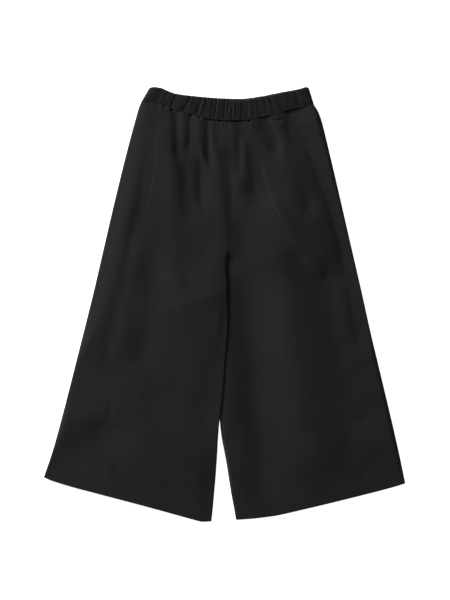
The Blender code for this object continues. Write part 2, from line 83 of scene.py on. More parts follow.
# %% [markdown]
# ## Tables and soft steps
# A maker's measures are short tables with a row for each station. A smooth curve through the rows, which never
# swings past them, gives every value in between. NumPy works it out for whole arrays at once, which keeps the
# script quick on fine meshes.

# %% Reading tables
def soft_step(value):
    """0 below 0, 1 above 1, an even S between them."""
    value = np.clip(value, 0.0, 1.0)
    return value * value * (3.0 - 2.0 * value)


def table_value(rows, column, at):
    """Value of a table's column on a smooth curve through its rows; column 0 is the position."""
    xs, ys = (np.array([row[k] for row in rows], float) for k in (0, column))
    steps = np.diff(ys) / np.diff(xs)
    before, after = steps[:-1], steps[1:]
    total = np.where(before + after == 0.0, 1.0, before + after)
    inside = np.where(before * after > 0.0, 2 * before * after / total, 0.0)
    slopes = np.concatenate([steps[:1], inside, steps[-1:]])
    at = np.clip(at, xs[0], xs[-1])
    i = np.clip(np.searchsorted(xs, at) - 1, 0, len(xs) - 2)
    run = xs[i + 1] - xs[i]
    t = (at - xs[i]) / run
    start, end, rise = slopes[i] * run, slopes[i + 1] * run, ys[i + 1] - ys[i]
    return ys[i] + t * start + t * t * (3 * rise - 2 * start - end) + t ** 3 * (start + end - 2 * rise)


# %% Rounded edges and soft noise
def rounded_edge(along, reach, rise):
    """A length along a rounded edge turned into how far in, how far up, and the angle turned."""
    quarter = 0.5 * math.pi * np.sqrt((reach ** 2 + rise ** 2) / 2.0)
    angle = 0.5 * math.pi * np.minimum(1.0, along / quarter)
    inward = np.where(along >= quarter, reach + along - quarter, reach * (1.0 - np.cos(angle)))
    return inward, rise * np.sin(angle), angle


NOISE_CELLS = 96


def soft_noise(x, y, size_x, size_y, seed):
    """Smooth bumps between -1 and 1, about size_x by size_y millimetres, the same on every run."""
    grid = np.random.default_rng(seed).uniform(-1.0, 1.0, (NOISE_CELLS, NOISE_CELLS))
    u, v = x / size_x + 4 * NOISE_CELLS, y / size_y + 4 * NOISE_CELLS
    i, j = np.floor(u).astype(int), np.floor(v).astype(int)
    s, t = soft_step(u - i), soft_step(v - j)
    i, j, k, m = i % NOISE_CELLS, j % NOISE_CELLS, (i + 1) % NOISE_CELLS, (j + 1) % NOISE_CELLS
    return (grid[i, j] * (1 - s) + grid[k, j] * s) * (1 - t) + (grid[i, m] * (1 - s) + grid[k, m] * s) * t


print("a step's middle:", float(soft_step(0.5)))

# %% [markdown]
# ## The cut of the legs
# These are the sizes of the solids, in millimetres. x runs across, y up the garment from the middle of its length,
# and a drop is a distance down from the waist seam. Each station gives the side seam, the inner edge, and how far
# the inseam has rolled onto the front. Repeating the maker's own measures keeps every new edge on its solid's.

# %% Stations of each leg
LEG_COLUMNS = ("drop", "outer_x", "outer_y", "inner_x", "inner_y", "roll")
LEG_ROWS = {
    "right": (
        (0, -167, 403.9, 3.85, 367.7, 0), (15, -172.4, 389.9, 3.85, 352.7, 0), (35, -177.8, 371.1, 3.85, 332.7, 0),
        (70, -186.8, 338.5, 3.85, 297.7, 0), (140, -203.7, 272.9, 3.85, 227.7, 0),
        (258.8, -230.4, 161.8, 3.85, 108.9, 0), (283, -235.6, 139.2, 4.6, 84.7, 2),
        (330, -245.7, 95.2, 7, 37.7, 2.2), (400, -260.8, 29.7, 5.9, -32.3, 2.4),
        (480, -279.3, -45.1, 0.8, -112.3, 2.7), (560, -298.2, -120, -5.4, -192.3, 3.6),
        (620, -312.4, -176.1, -11.7, -252.3, 8.5), (680, -326.9, -232.2, -15.3, -312.3, 18.1),
        (745, -343.8, -293, -20.3, -377.3, 23.9), (803, -362, -347.1, -26, -435.1, 20),
    ),
    "left": (
        (0, 179, 398.9, 4.15, 367.7, 0), (15, 187.8, 384.7, 4.15, 352.7, 0), (35, 194.8, 365.7, 4.15, 332.7, 0),
        (70, 203.2, 332.5, 4.15, 297.7, 0), (140, 219, 266.2, 4.15, 227.7, 0), (258.8, 245, 153.6, 4.15, 108.9, 0),
        (283, 250.2, 130.7, 5.2, 84.7, 2), (330, 260.5, 86.1, 0.6, 37.7, 7), (400, 275.7, 19.8, -6.2, -32.3, 14.1),
        (480, 292.5, -56, -10.3, -112.3, 23.2), (560, 310.6, -131.8, -12.1, -192.3, 33.2),
        (620, 324.2, -188.7, -7.7, -252.3, 37), (680, 337.6, -245.6, 2.8, -312.3, 38.6),
        (745, 351.4, -307.2, 13, -377.3, 38.5), (803, 362, -359.1, 23, -432.1, 32),
    ),
}
for side in LEG_ROWS:
    print(side, "leg: stations", len(LEG_ROWS[side]), "length, mm", LEG_ROWS[side][-1][0])

# %% Cloth, waist seam and hem
SOLID_CLOTH, CLOTH = 1.5, 0.8       # wall of the solids, and of the shells that replace them
SIDE_REACH, INNER_REACH = 4.0, 3.0  # how far in the rounded edges reach
HEIGHT_ROWS = ((0, 3, 5), (40, 2.4, 4.2), (90, 2, 3.6), (820, 2, 3.6))   # drop, middle of the edge, upper layer
SETTLED_Y = 0.62                    # the solids were centred over the origin by this much
SEAM_BOW_RUN, HEM_BOW_RUN = 300.0, 260.0
SEAM_ROWS = (                       # x and y of the waist seam
    (-167, 403.9), (-151, 403), (-129, 399.3), (-105, 390.7), (-89, 385.1), (-67, 379.2), (-49, 374.4),
    (-27, 369.6), (4, 367.7), (49, 368.9), (67, 372.9), (83, 376.1), (105, 381.2), (123, 387), (143, 392),
    (163, 396.6), (179, 398.9),
)
HEM_ROWS = {                        # share of the way in from the side seam, and how far the hem bows down there
    "right": ((0, 0), (0.06, 3), (0.2, 4.4), (0.35, 4.4), (0.6, 4.6), (0.8, 5.4), (0.93, 6), (1, 0)),
    "left": ((0, 0), (0.08, 2.4), (0.32, 5.8), (0.6, 8.2), (0.74, 9), (0.85, 6.6), (1, 0)),
}
print("the waist seam dips by mm:", round(SEAM_ROWS[0][1] - min(row[1] for row in SEAM_ROWS), 1))

# %% Fullness of the upper layer
EASE = 5.4                  # how far the middle of the upper layer stands above its resting level
SIDE_EASE_ROWS = {          # how far in from the side seam that is reached, at each drop
    "right": ((0, 12), (60, 38), (320, 42), (410, 40), (480, 24), (560, 13), (803, 11)),
    "left": ((0, 8), (60, 14), (110, 10), (803, 9)),
}
INNER_EASE_ROWS = {         # at each drop: share reached at the inner edge, where the rest starts, and its run
    "right": ((258, 0, 0, 13), (283, 0.4, 0, 15), (300, 0.6, 0, 15), (316, 0.48, 0, 15), (332, 0.36, 0, 15),
              (364, 0.2, 0, 17), (400, 0, 0, 19), (560, 0, 0, 40), (700, 0, 0, 40), (803, 0, 0, 30)),
    "left": ((258, 0, 0, 8), (283, 0, 8, 30), (320, 0.6, 28, 40), (350, 0.85, 36, 42), (400, 1, 38, 50),
             (600, 1, 26, 60), (640, 0.8, 6, 60), (803, 0.5, 0, 60)),
}
INNER_LIP = 5.0             # run of the share that is reached at the edge
WAIST_PINCH, PINCH_RUN = 0.60, 40.0
HEM_FALL, HEM_FALL_RUN = 0.8, 120.0  # share of the fullness that is lost towards the hem
PUFF, PUFF_RUN = 1.0, 70.0  # extra fullness in the middle of a leg
INNER_PUFF_RUN = {"right": 70.0, "left": 24.0}
print("the upper layer stands up by mm:", EASE + PUFF)

# %% Crotch and overlap
CROTCH_DROP, JOIN_START, JOIN_RUN = 258.8, 262.0, 36.0   # over that run the inner edges become round
CLOSED_DROP = 330.0         # as far down as this the inner edges meet, where the solids keep a gap
CROTCH_LAP, LAP_RUN = 1.0, 6.0       # from the crotch on they lap over each other by this much
PARTED_DROP, LIFT_RUN = 283.0, 42.0
LIFT_ROWS = (               # how high the right leg's inner edge rides over the left leg, at each drop
    (258.8, 0), (276, 3.4), (288, 2.4), (298, 2.3), (308, 3.3), (320, 4.5), (332, 5.3), (348, 6.1), (364, 6.8),
    (380, 7.5), (400, 8.1), (436, 8.6), (480, 8.5), (520, 8.4), (608, 8.2), (730, 0),
)
EDGE_PRESS, UNDER_PRESS = 1.2, 1.0   # the lifted edge is pressed flatter by this much, from above and from below
PRESSED_LIFT = 3.4          # the lift from which on it is pressed in full
print("highest lift of the overlap, mm:", max(lift for drop, lift in LIFT_ROWS))

# %% [markdown]
# ## The folds
# Cloth laid down by hand keeps a few long folds and many soft ones. Sculpting or a cloth simulation could make
# them, but neither would put them where the photo has them. So each row names one fold and gives its route, how
# wide it is on the left and the right hand of someone who walks along the route, and its height, minus for a
# trough. A third number at a point is the share of that height there. A fold is soft unless its row ends with
# another kind of edge, because in pressed cloth one side of a fold can be crisp.

# %% Folds of the right leg's front
RIGHT_FOLDS = (
    ("trough inside the side seam", ((-146, 400, 0.4), (-156, 290, 0.6), (-166, 196, 1), (-180, 144, 1.2),
        (-190, 88, 0.7), (-200, 35, 0.4), (-218, -30, 0.6), (-234, -100, 0.6), (-248, -170, 0.2)), 34, 16, -2.6),
    ("ridge beside it", ((-174, 150, 0), (-179, 90, 0.8), (-188, 40, 0.9), (-199, -35, 1), (-210, -85, 1),
        (-226, -150, 0)), 14, 13, 1.0),
    ("dark band", ((-134, 180, 0), (-137, 120, 0.6), (-140, 70, 1), (-143, 0, 1), (-150, -52, 0.9),
        (-164, -95, 0.7), (-186, -150, 0)), 42, 24, -4.0),
    ("low strip at the side seam", ((-286, -50, 0), (-303, -120, 1), (-318, -190, 1), (-332, -245, 0.5),
        (-362, -350, 0.5), (-388, -440, 0.8)), 105, 60, -4.4),
    ("shallow trough beside the puff", ((-100, 60, 0), (-98, 0, 0.8), (-96, -60, 1), (-92, -120, 0.6),
        (-88, -180, 0)), 70, 36, -2.0),
    ("bright column", ((-100, 400, 0.5), (-101, 300, 0.9), (-101, 209, 1), (-100, 90, 0.8), (-101, 0, 0)),
        24, 25, 2.0),
    ("thin crease", ((-129, 370), (-138, 270), (-147, 216), (-155, 170)), 16, 2.2, 0.5),
    ("gather 1", ((-98, 450), (-96, 373), (-95, 330), (-94, 300, 0.9), (-86, 262, 0)), 12, 9, -2.8),
    ("gather 1, lower part", ((-84, 345, 0), (-77, 285, 0.8), (-74, 240, 1), (-73, 190, 0.6), (-74, 130, 0)),
        24, 20, -3.4),
    ("gather 2", ((-69, 450), (-69, 346), (-71, 311), (-75, 280, 0)), 7, 9, -2.3),
    ("gather 3", ((-59, 450), (-59, 350), (-58.5, 320), (-57, 258, 0)), 2.6, 6, -0.7),
    ("gather 4", ((-35, 450), (-33, 353), (-32, 305), (-25, 268, 0.4), (-21, 250, 0)), 8, 9, -2.9),
    ("thin ridge beside gather 4", ((-49, 345, 0), (-46, 306), (-38, 280), (-20, 248, 0)), 9, 4, 0.9),
    ("gather 5", ((-50, 320, 0), (-47, 275), (-46, 235, 1.2), (-44, 205, 0.8), (-40, 160, 0)), 30, 12, -3.8),
    ("gather 6", ((-21, 450), (-18, 365), (-15, 330), (-13, 285, 0)), 12, 10, -2.2),
    ("puff over the knee", ((-190, -35, 0), (-158, -25, 0.3), (-128, -15, 0.7), (-96, -5, 1), (-62, 5, 1),
        (-28, 15, 0.9), (-4, 22, 0.5), (30, 32, 0)), 54, 170, 6.2, "sharp"),
    ("slack over the puff", ((-126, 60, 0), (-90, 84), (-50, 96), (2, 100, 0.4)), 96, 64, -3.0),
    ("hollow near the hem", ((-240, -206, 0), (-242, -252, 0.8), (-262, -290, 1), (-300, -316, 1),
        (-346, -338, 1), (-402, -364, 1)), 56, 42, -6.0),
    ("short crease", ((-228, -185), (-229, -215), (-227, -245)), 6, 8, -0.6),
    ("small dent", ((-217, -290), (-215, -330), (-212, -372)), 11, 12, -1.2),
    ("soft hollow", ((-134, -140), (-138, -205), (-146, -270)), 34, 34, -1.6),
    ("low ground by the inseam", ((2, -40, 0), (-6, -160, 0.5), (-14, -280, 1), (-24, -460, 1)), 60, 110, -1.8),
)
print("folds on the right leg:", len(RIGHT_FOLDS))

# %% Folds of the left leg's front
LEFT_FOLDS = (
    ("gather 7", ((27, 450), (28, 350), (29, 320), (29, 270, 0.8), (29, 235, 0)), 8, 13, -3.4),
    ("top of gather 8", ((36.5, 450), (37, 373), (38, 345), (41, 325, 0.6), (44, 300, 0)), 12, 7, -2.2),
    ("gather 8", ((46, 385, 0), (50, 350, 0.7), (56, 316, 1), (60, 290, 1), (63, 262, 1), (65, 225, 0.9),
        (66, 205, 0.6), (66, 165, 0)), 58, 21, -4.8),
    ("gather 9", ((79, 450), (84, 373), (90, 353), (101, 330), (105, 302, 0.8), (104, 270, 0)), 12, 17, -4.0),
    ("dash under the seam", ((88, 369), (106, 367), (122, 370)), 3, 3, -1.8),
    ("curved crease", ((72, 305), (82, 256), (91, 223), (106, 189), (131, 139), (160, 92)), 18, 2.6, 1.0),
    ("top of the long fold", ((132, 450), (134, 389), (138, 349, 1.5), (153, 331, 1.5), (182, 280)),
        4, 5, -2.4, "sharp"),
    ("long fold", ((134, 450, 0.7), (136, 375, 0.8), (139, 350, 0.9), (153, 331, 1), (165, 316, 1), (173, 298, 1),
        (180, 275, 1), (190, 245, 1), (204, 209, 1), (218, 165, 1), (231, 122, 1), (240, 78, 1), (251, 35, 1),
        (260, -8, 1), (265, -52, 0.8), (268, -110, 0)), 36, 19, -6.0, "cliff"),
    ("second band", ((122, 400, 0.3), (131, 345, 0.8), (142, 305, 1), (153, 272, 1), (162, 235, 1),
        (168, 200, 0.8), (170, 150, 0)), 24, 22, -2.9),
    ("pit in the second band", ((163, 236), (167, 198), (166, 160)), 20, 14, -1.6),
    ("smile-shaped trough", ((136, 126), (147, 88), (164, 60), (186, 47), (204, 52), (222, 84)), 17, 40, -3.0),
    ("broad trough, upper part", ((200, 118, 0), (208, 60, 0.8), (211, 20, 1), (217, -52, 1), (226, -110, 0.6),
        (232, -160, 0)), 32, 58, -4.2, "cliff"),
    ("broad trough, lower part", ((217, -52, 0), (226, -110, 0.5), (234, -150, 1), (251, -226, 1),
        (254, -269, 1), (258, -313, 1), (266, -430, 0.8)), 90, 58, -4.4, "cliff"),
    ("full middle of the leg", ((76, 290, 0), (88, 240, 0.2), (102, 180, 0.5), (114, 110, 0.8), (130, -30, 1),
        (146, -140, 1), (166, -260, 0.9), (184, -440, 0.5)), 54, 64, 4.8),
    ("low strip by the side seam", ((262, 40, 0), (288, -50, 0.8), (304, -110, 0.5), (322, -190, 0)), 40, 42, -2.6),
    ("step beside the centre seam", ((28, 262, 0), (32, 225, 0.8), (37, 160, 1.1), (40, 100), (44, 40)),
        50, 34, -3.8),
    ("valley beside the inseam", ((44, 85), (48, 10), (54, -40), (57, -75), (60, -115), (63, -170), (69, -226),
        (77, -291), (83, -369), (94, -480)), 60, 38, -7.2),
    ("upper patch", ((232, -134), (256, -138), (294, -130)), 13, 20, -1.0),
    ("middle patch", ((246, -227), (272, -231), (304, -224)), 13, 20, -0.9),
    ("lower patch", ((268, -308), (305, -314), (344, -302)), 17, 24, -1.5),
)
SHARED_FOLDS = (
    ("centre front", ((3, 450), (4, 345), (7, 300), (9, 250), (10, 200, 0.7), (13, 140, 0)), 14, 16, -3.2),
)
print("folds on the left leg:", len(LEFT_FOLDS))

# %% Route of a fold
SPAN_STEPS = 7              # steps of the curve between two points of a route
FOLD_FADE, FADE_SHARE = 45.0, 0.48      # a fold runs out over this length at its ends, or this share of a short one
FOLD_REACH = 3.6            # how many of its widths away a fold still counts


def fold_curve(route):
    """Points of a smooth curve through a fold's route, with the share of its height at each."""
    p = np.array([(*point, 1.0)[:3] for point in route], float)
    p = np.vstack([2 * p[0] - p[1], p, 2 * p[-1] - p[-2]])
    t = np.linspace(0.0, 1.0, SPAN_STEPS + 1)[:-1, None]
    spans = [0.5 * (2 * b + (c - a) * t + (2 * a - 5 * b + 4 * c - d) * t ** 2 + (3 * b - a - 3 * c + d) * t ** 3)
             for a, b, c, d in zip(p, p[1:], p[2:], p[3:])]
    return np.vstack([*spans, p[-2:-1]])


def nearest_on_route(points, px, py):
    """For each place: its distance from the route, how far along that is, the share there, and which hand."""
    best, place, hand, share = (np.full(px.shape, start) for start in (1e9, 0.0, 0.0, 0.0))
    walked = 0.0
    for (ax, ay, a), (dx, dy, da) in zip(points, np.diff(points, axis=0)):
        step = math.hypot(dx, dy)
        t = np.clip(((px - ax) * dx + (py - ay) * dy) / (dx * dx + dy * dy), 0.0, 1.0)
        away = np.hypot(px - ax - t * dx, py - ay - t * dy)
        closer = away < best
        best = np.where(closer, away, best)
        place = np.where(closer, walked + t * step, place)
        share = np.where(closer, a + t * da, share)
        hand = np.where(closer, dx * (py - ay) - dy * (px - ax), hand)
        walked += step
    return best, place, share, hand, walked


# %% Height of the folds
EDGE_POWERS = {"soft": (2.0, 2.0), "sharp": (1.25, 1.25), "cliff": (2.0, 1.25)}   # left hand, right hand


def one_fold(row, x, y):
    """Height that one fold adds at each place."""
    name, route, left_hand, right_hand, height, edge = (*row, "soft")[:6]
    points = fold_curve(route)
    reach = FOLD_REACH * max(left_hand, right_hand)
    low, high = points[:, :2].min(0) - reach, points[:, :2].max(0) + reach
    near = (x > low[0]) & (x < high[0]) & (y > low[1]) & (y < high[1])
    best, place, share, hand, walked = nearest_on_route(points, x[near], y[near])
    powers = EDGE_POWERS[edge]
    left = np.exp(-(best / left_hand) ** powers[0])
    right = np.exp(-(best / right_hand) ** powers[1])
    run_out = min(FOLD_FADE, FADE_SHARE * walked)
    fade = soft_step(place / run_out) * soft_step((walked - place) / run_out)
    added = np.zeros(x.shape)
    added[near] = height * share * fade * np.where(hand > 0.0, left, right)
    return added


def folds_of(side, x, y):
    """Height of one leg's front above its resting level, from its folds."""
    rows = (RIGHT_FOLDS if side == "right" else LEFT_FOLDS) + SHARED_FOLDS
    return sum(one_fold(row, x, y) for row in rows)


print("edges a fold can have:", ", ".join(EDGE_POWERS))

# %% [markdown]
# ## Gathers at the waist
# The waistband is a casing with elastic in it. Its cloth is drawn up, so it stands in rounded ridges with sharp
# furrows between them, wide at the sides and tight at the front. The first table has a row for each furrow: where
# it crosses the middle of the band, how far its top leans, and how deep it is. The second has the narrow slits,
# with their half width and the heights, 0 to 1, between which they are pinched.

# %% Furrows and slits of the waistband
GATHER_ROWS = (
    (-130.3, 0, 1.5), (-118.5, 1, 1), (-101.7, 0, 1.5), (-75, 6, 1.4), (-51.5, 4, 1.5), (-40.3, 2.5, 1.3),
    (-32.3, 0.5, 1.3), (-25.5, 0, 1.3), (-18, 0.5, 1.4), (-9.7, 1, 1.4), (-0.9, 0, 1.2), (6.3, -0.5, 1.4),
    (15.7, 0, 1.3), (24.5, 0, 1.5), (33, -0.5, 1.1), (39.3, 0, 1.2), (46, 0.5, 1.5), (56.5, -3, 1.4), (69, -4, 1.5),
    (82, -4, 1.2), (93.5, -5, 1.5), (114.5, -2, 1.4), (132.5, 1, 1.2), (144.5, -3, 1.5),
)
PINCH_GAIN, PINCH_SLACK = 0.32, 2.2    # depth of a slit, and how much wider its far wall is
PINCH_POWER, PINCH_END = 1.4, 0.18     # how sharp a slit is, and over which height it runs out
PINCH_ROWS = (
    (-128.3, -1, 1.2, 0.9, 0.3, 1), (-119.5, 1, 1.2, 1, 0.6, 1), (-102.5, 0, 2.4, 1.1, 0, 1),
    (-75.5, 8, 2.4, 1.2, 0, 1), (-64, 4, 1.8, 2.6, 0.75, 1), (-50.5, 9, 2.6, 1.4, 0, 1),
    (-39, 0.5, 3, 1.6, 0, 1), (-34.6, 0.5, 1.8, 1, 0.2, 1), (-28, 0.5, 2.2, 1.3, 0.4, 1),
    (-22, 0, 1.5, 1, 0, 0.7), (-17, 0.5, 3, 1.5, 0.2, 1), (-11.5, 0.5, 1.7, 1, 0, 1), (-6, 0.5, 2.2, 1.1, 0, 0.9),
    (0.6, 0, 3.2, 1.7, 0, 1), (6, 0, 1.9, 1, 0.5, 1), (10.5, -1, 2.6, 2.4, 0.7, 1), (15.5, 0, 1.6, 1, 0, 0.8),
    (21.5, 0, 2, 1.2, 0, 0.9), (28, 0, 1.6, 1, 0.2, 1), (35.2, 0, 3.2, 1.7, 0, 1), (42, 0, 3.2, 1.7, 0, 1),
    (47.5, 0, 1.8, 1, 0, 0.7), (52, 0.5, 2.6, 1.9, 0.5, 1), (59, -2, 2.6, 2, 0.25, 1),
    (64.5, -3, 2.6, 2.2, 0.15, 1), (71, -4, 2.4, 2.2, 0.1, 0.85), (82.5, -2, 1.8, 3, 0.35, 0.85),
    (95, -9, 2, 1.4, 0.2, 1), (124, -4, 1.4, 2.4, 0, 0.4), (146.5, -3, 1.8, 1.4, 0, 1),
)
print("furrows on the front of the band:", len(GATHER_ROWS), "and pinched ones:", len(PINCH_ROWS))

# %% Relief of the gathers
BAND_MIDDLE = (-158.7, 173.8)          # where the band's middle line starts and ends
RIDGE_POWER = 0.6


def gather_relief(x, up, rows):
    """Depth below the ridges, 0 on a ridge and minus a furrow's depth in it, at a place along and up the band."""
    rows = [(BAND_MIDDLE[0], 0.0, 0.0), *rows, (BAND_MIDDLE[1], 0.0, 0.0)]
    middle, lean, depth = (np.array(column) for column in zip(*rows))
    straight = x - (up - 0.5) * np.interp(x, middle, lean)
    i = np.clip(np.searchsorted(middle, straight) - 1, 0, len(middle) - 2)
    s = np.clip((straight - middle[i]) / (middle[i + 1] - middle[i]), 0.0, 1.0)
    swell = np.maximum(np.sin(math.pi * s), 0.0) ** RIDGE_POWER
    return -(depth[i] * (1.0 - s) + depth[i + 1] * s) * (1.0 - swell)


def pinch_relief(x, up):
    """Narrow slits where the cloth is pinched between two gathers."""
    total = np.zeros(np.broadcast(x, up).shape)
    for middle, lean, depth, half_width, low, high in PINCH_ROWS:
        away = x - middle - (up - 0.5) * lean
        away = np.abs(away) / np.where(away > 0.0, PINCH_SLACK, 1.0)
        window = soft_step((up - low) / PINCH_END + 1.0) * soft_step((high - up) / PINCH_END + 1.0)
        total -= PINCH_GAIN * depth * window * np.exp(-(away / half_width) ** PINCH_POWER)
    return total


print("the deepest furrow, mm:", max(row[2] for row in GATHER_ROWS))

# %% [markdown]
# ## Ditch along the waist seam
# Where a gather is caught in the seam, the cloth dives into it and leaves a dark pit. The table says, along the
# seam, how much of the full dive the cloth takes and how far it reaches down the leg.

# %% Ditch of the seam
PIT_SLOPE, PIT_POWER = 0.66, 4.0     # depth of a pit for its run, and how steep its far wall is
PIT_START, LOWEST_PIT = 8.0, -2.8    # the pits begin this far from the side seam, and go no deeper
DITCH_ROWS = (
    (-168, 0, 1), (-158, 0.05, 1.2), (-151, 0.7, 2.4), (-133, 0.8, 3), (-127, 0.05, 1.4), (-119, 0.8, 3.6),
    (-111, 0.1, 1.8), (-105, 1, 5.6), (-98.5, 0.1, 1.6), (-91, 0.8, 3.4), (-83, 0.05, 1.4), (-75, 0.1, 1.4),
    (-66, 1, 5.4), (-57.5, 0.1, 1.4), (-49.5, 0.9, 4.6), (-42, 0.1, 1.4), (-35, 0.9, 4), (-24, 0.9, 4),
    (-18.5, 0.2, 1.4), (-9, 0.9, 4.4), (0.5, 0.3, 2), (9, 0.9, 4.4), (27, 1, 4.8), (35, 0.1, 1.4), (43, 0.2, 1.6),
    (49.5, 1, 5.6), (56, 0.3, 2.4), (66, 0.9, 3.4), (82, 0.8, 3), (89, 0, 1.2), (116, 0.05, 1.2), (122, 1, 6.4),
    (130, 1, 6), (136, 0.1, 1.4), (144, 0.8, 3.6), (149, 0.05, 1), (180, 0, 1),
)


def dive_at(seam_x, drop, across):
    """How deep the cloth dives towards the waist seam."""
    share, run = (table_value(DITCH_ROWS, k, seam_x) for k in (1, 2))
    return PIT_SLOPE * share * run * np.exp(-(drop / run) ** PIT_POWER) * soft_step(across / PIT_START)


print("the deepest pit, mm:", round(max(PIT_SLOPE * share * run for x, share, run in DITCH_ROWS), 1))

# %% [markdown]
# ## From the cut to the lying leg
# A leg laid flat is a squashed tube. At each station its section runs from the side seam, round a small edge, flat
# across, and round the inner edge. A place on the cloth is therefore a distance in from the side seam and a height.

# %% Measures of a leg
def measure_leg(side, drops):
    """All measures of a leg at an array of drops, each as a column."""
    rows = LEG_ROWS[side]
    leg = {name: table_value(rows, k, drops)[:, None] for k, name in enumerate(LEG_COLUMNS) if k}
    leg.update(side=side, drop=drops[:, None], length=rows[-1][0])
    leg["chord"] = np.hypot(leg["inner_x"] - leg["outer_x"], leg["inner_y"] - leg["outer_y"])
    leg["mid"], leg["top"] = (table_value(HEIGHT_ROWS, k, drops)[:, None] for k in (1, 2))
    leg["join"] = soft_step((leg["drop"] - JOIN_START) / JOIN_RUN)
    right_x, left_x = (table_value(LEG_ROWS[s], LEG_COLUMNS.index("inner_x"), drops)[:, None] for s in LEG_ROWS)
    gap = left_x - right_x + CROTCH_LAP * soft_step((leg["drop"] - CROTCH_DROP) / LAP_RUN)
    half = np.where(leg["drop"] < CLOSED_DROP, np.maximum(0.0, gap) / 2.0, 0.0)
    leg["inner_x"] = leg["inner_x"] + (half if side == "right" else -half)
    apart = leg["top"] * (1.0 - leg["join"]) / (2.0 * SOLID_CLOTH)
    leg["turned"] = np.sqrt(1.0 - np.clip(apart, 0.0, 1.0) ** 2)
    return leg


def place_in_plan(leg, across):
    """Where a distance in from the side seam lies, seen from above, and where its column starts on the seam."""
    share = across / leg["chord"]
    x = leg["outer_x"] + (leg["inner_x"] - leg["outer_x"]) * share
    y = leg["outer_y"] + (leg["inner_y"] - leg["outer_y"]) * share
    first = LEG_ROWS[leg["side"]][0]
    seam_x = first[1] + (first[3] - first[1]) * share
    seam_y = first[2] + (first[4] - first[2]) * share
    dip = np.clip(1.0 - leg["drop"] / SEAM_BOW_RUN, 0.0, 1.0) ** 2
    y = y + (table_value(SEAM_ROWS, 1, seam_x) - seam_y) * dip
    below = np.clip((leg["drop"] - leg["length"] + HEM_BOW_RUN) / HEM_BOW_RUN, 0.0, 1.0) ** 2
    return x, y - table_value(HEM_ROWS[leg["side"]], 1, share) * below, seam_x


print("middle of the right leg at half its length, mm:", [round(float(v[0, 0])) for v in place_in_plan(
    measure_leg("right", np.array([400.0])), np.array([[133.0]]))[:2]])

# %% [markdown]
# ## What lies on the upper layer
# The front panel carries the folds, and on them what a hand would feel: the ends of the waistband's furrows, slow
# waves, a slight crumple, the sunk line of each seam and the doubled cloth of the hem. Above the crotch the folds
# of one leg run on into the other, so the two sets are blended across the centre seam.

# %% Folds across the centre seam
CENTRE_X, BLEND_WIDTH = 4.0, 24.0


def folds_here(leg, x, y):
    """Folds of a leg, which run on into the other leg's where the two are still sewn together."""
    own = folds_of(leg["side"], x, y)
    sewn = leg["join"][:, 0] < 1.0
    other = np.zeros_like(own)
    other[sewn] = folds_of("left" if leg["side"] == "right" else "right", x[sewn], y[sewn])
    across = soft_step(0.5 + (x - CENTRE_X) / BLEND_WIDTH)
    other_share = (across if leg["side"] == "right" else 1.0 - across) * (1.0 - leg["join"])
    return own + (other - own) * other_share


# %% Small relief of the front
FAN_RUN, FAN_GAIN = 12.0, 0.5       # the band's furrows fan out below the seam
WAVE_ROWS = (                       # height, slant, size across and down, and seed of each set of waves
    (0.35, 0, 60, 150, 3), (0.22, 0.3, 27, 70, 5), (0.06, 0, 8, 17, 11), (0.035, -0.4, 5, 9, 13),
)
PUCKER, PUCKER_PACE, PUCKER_STRAY, PUCKER_SIZE, PUCKER_REACH, PUCKER_SEED = 0.05, 1.6, 3.0, 23.0, 4.0, 17
SEAM_BULK, BULK_PLACE, BULK_WIDTH = 0.10, 2.0, 3.0
SEAM_DITCH, DITCH_WIDTH = 0.06, 1.2
HEM_DEPTH, HEM_STEP, HEM_STEP_RUN = 30.0, 0.12, 1.6


def small_relief(leg, across, x, y, seam_x):
    """Furrows below the waist, slow waves, crumple, seam ditches and the hem."""
    fan = FAN_GAIN * gather_relief(seam_x, 0.0, GATHER_ROWS) * np.exp(-leg["drop"] / FAN_RUN)
    waves = sum(high * soft_noise(x + slant * y, y, wide, long, seed)
                for high, slant, wide, long, seed in WAVE_ROWS)
    from_seam = np.maximum(0.0, leg["chord"] - across - leg["roll"])
    stray = PUCKER_STRAY * soft_noise(0.0 * x, y, 1.0, PUCKER_SIZE, PUCKER_SEED)
    pucker = PUCKER * np.sin(y / PUCKER_PACE + stray) * np.exp(-from_seam / PUCKER_REACH)
    bulk = SEAM_BULK * np.exp(-((from_seam - BULK_PLACE) / BULK_WIDTH) ** 2)
    ditch = bulk - SEAM_DITCH * np.exp(-(from_seam / DITCH_WIDTH) ** 2)
    hem = HEM_STEP * soft_step((HEM_DEPTH - leg["length"] + leg["drop"]) / HEM_STEP_RUN + 0.5)
    return fan + waves + pucker + ditch + hem


print("sets of waves:", len(WAVE_ROWS))

# %% Height of the front
FLOOR, FLOOR_BEND = 0.8, 0.4        # a trough may sink this far below the resting level, where it bends out softly


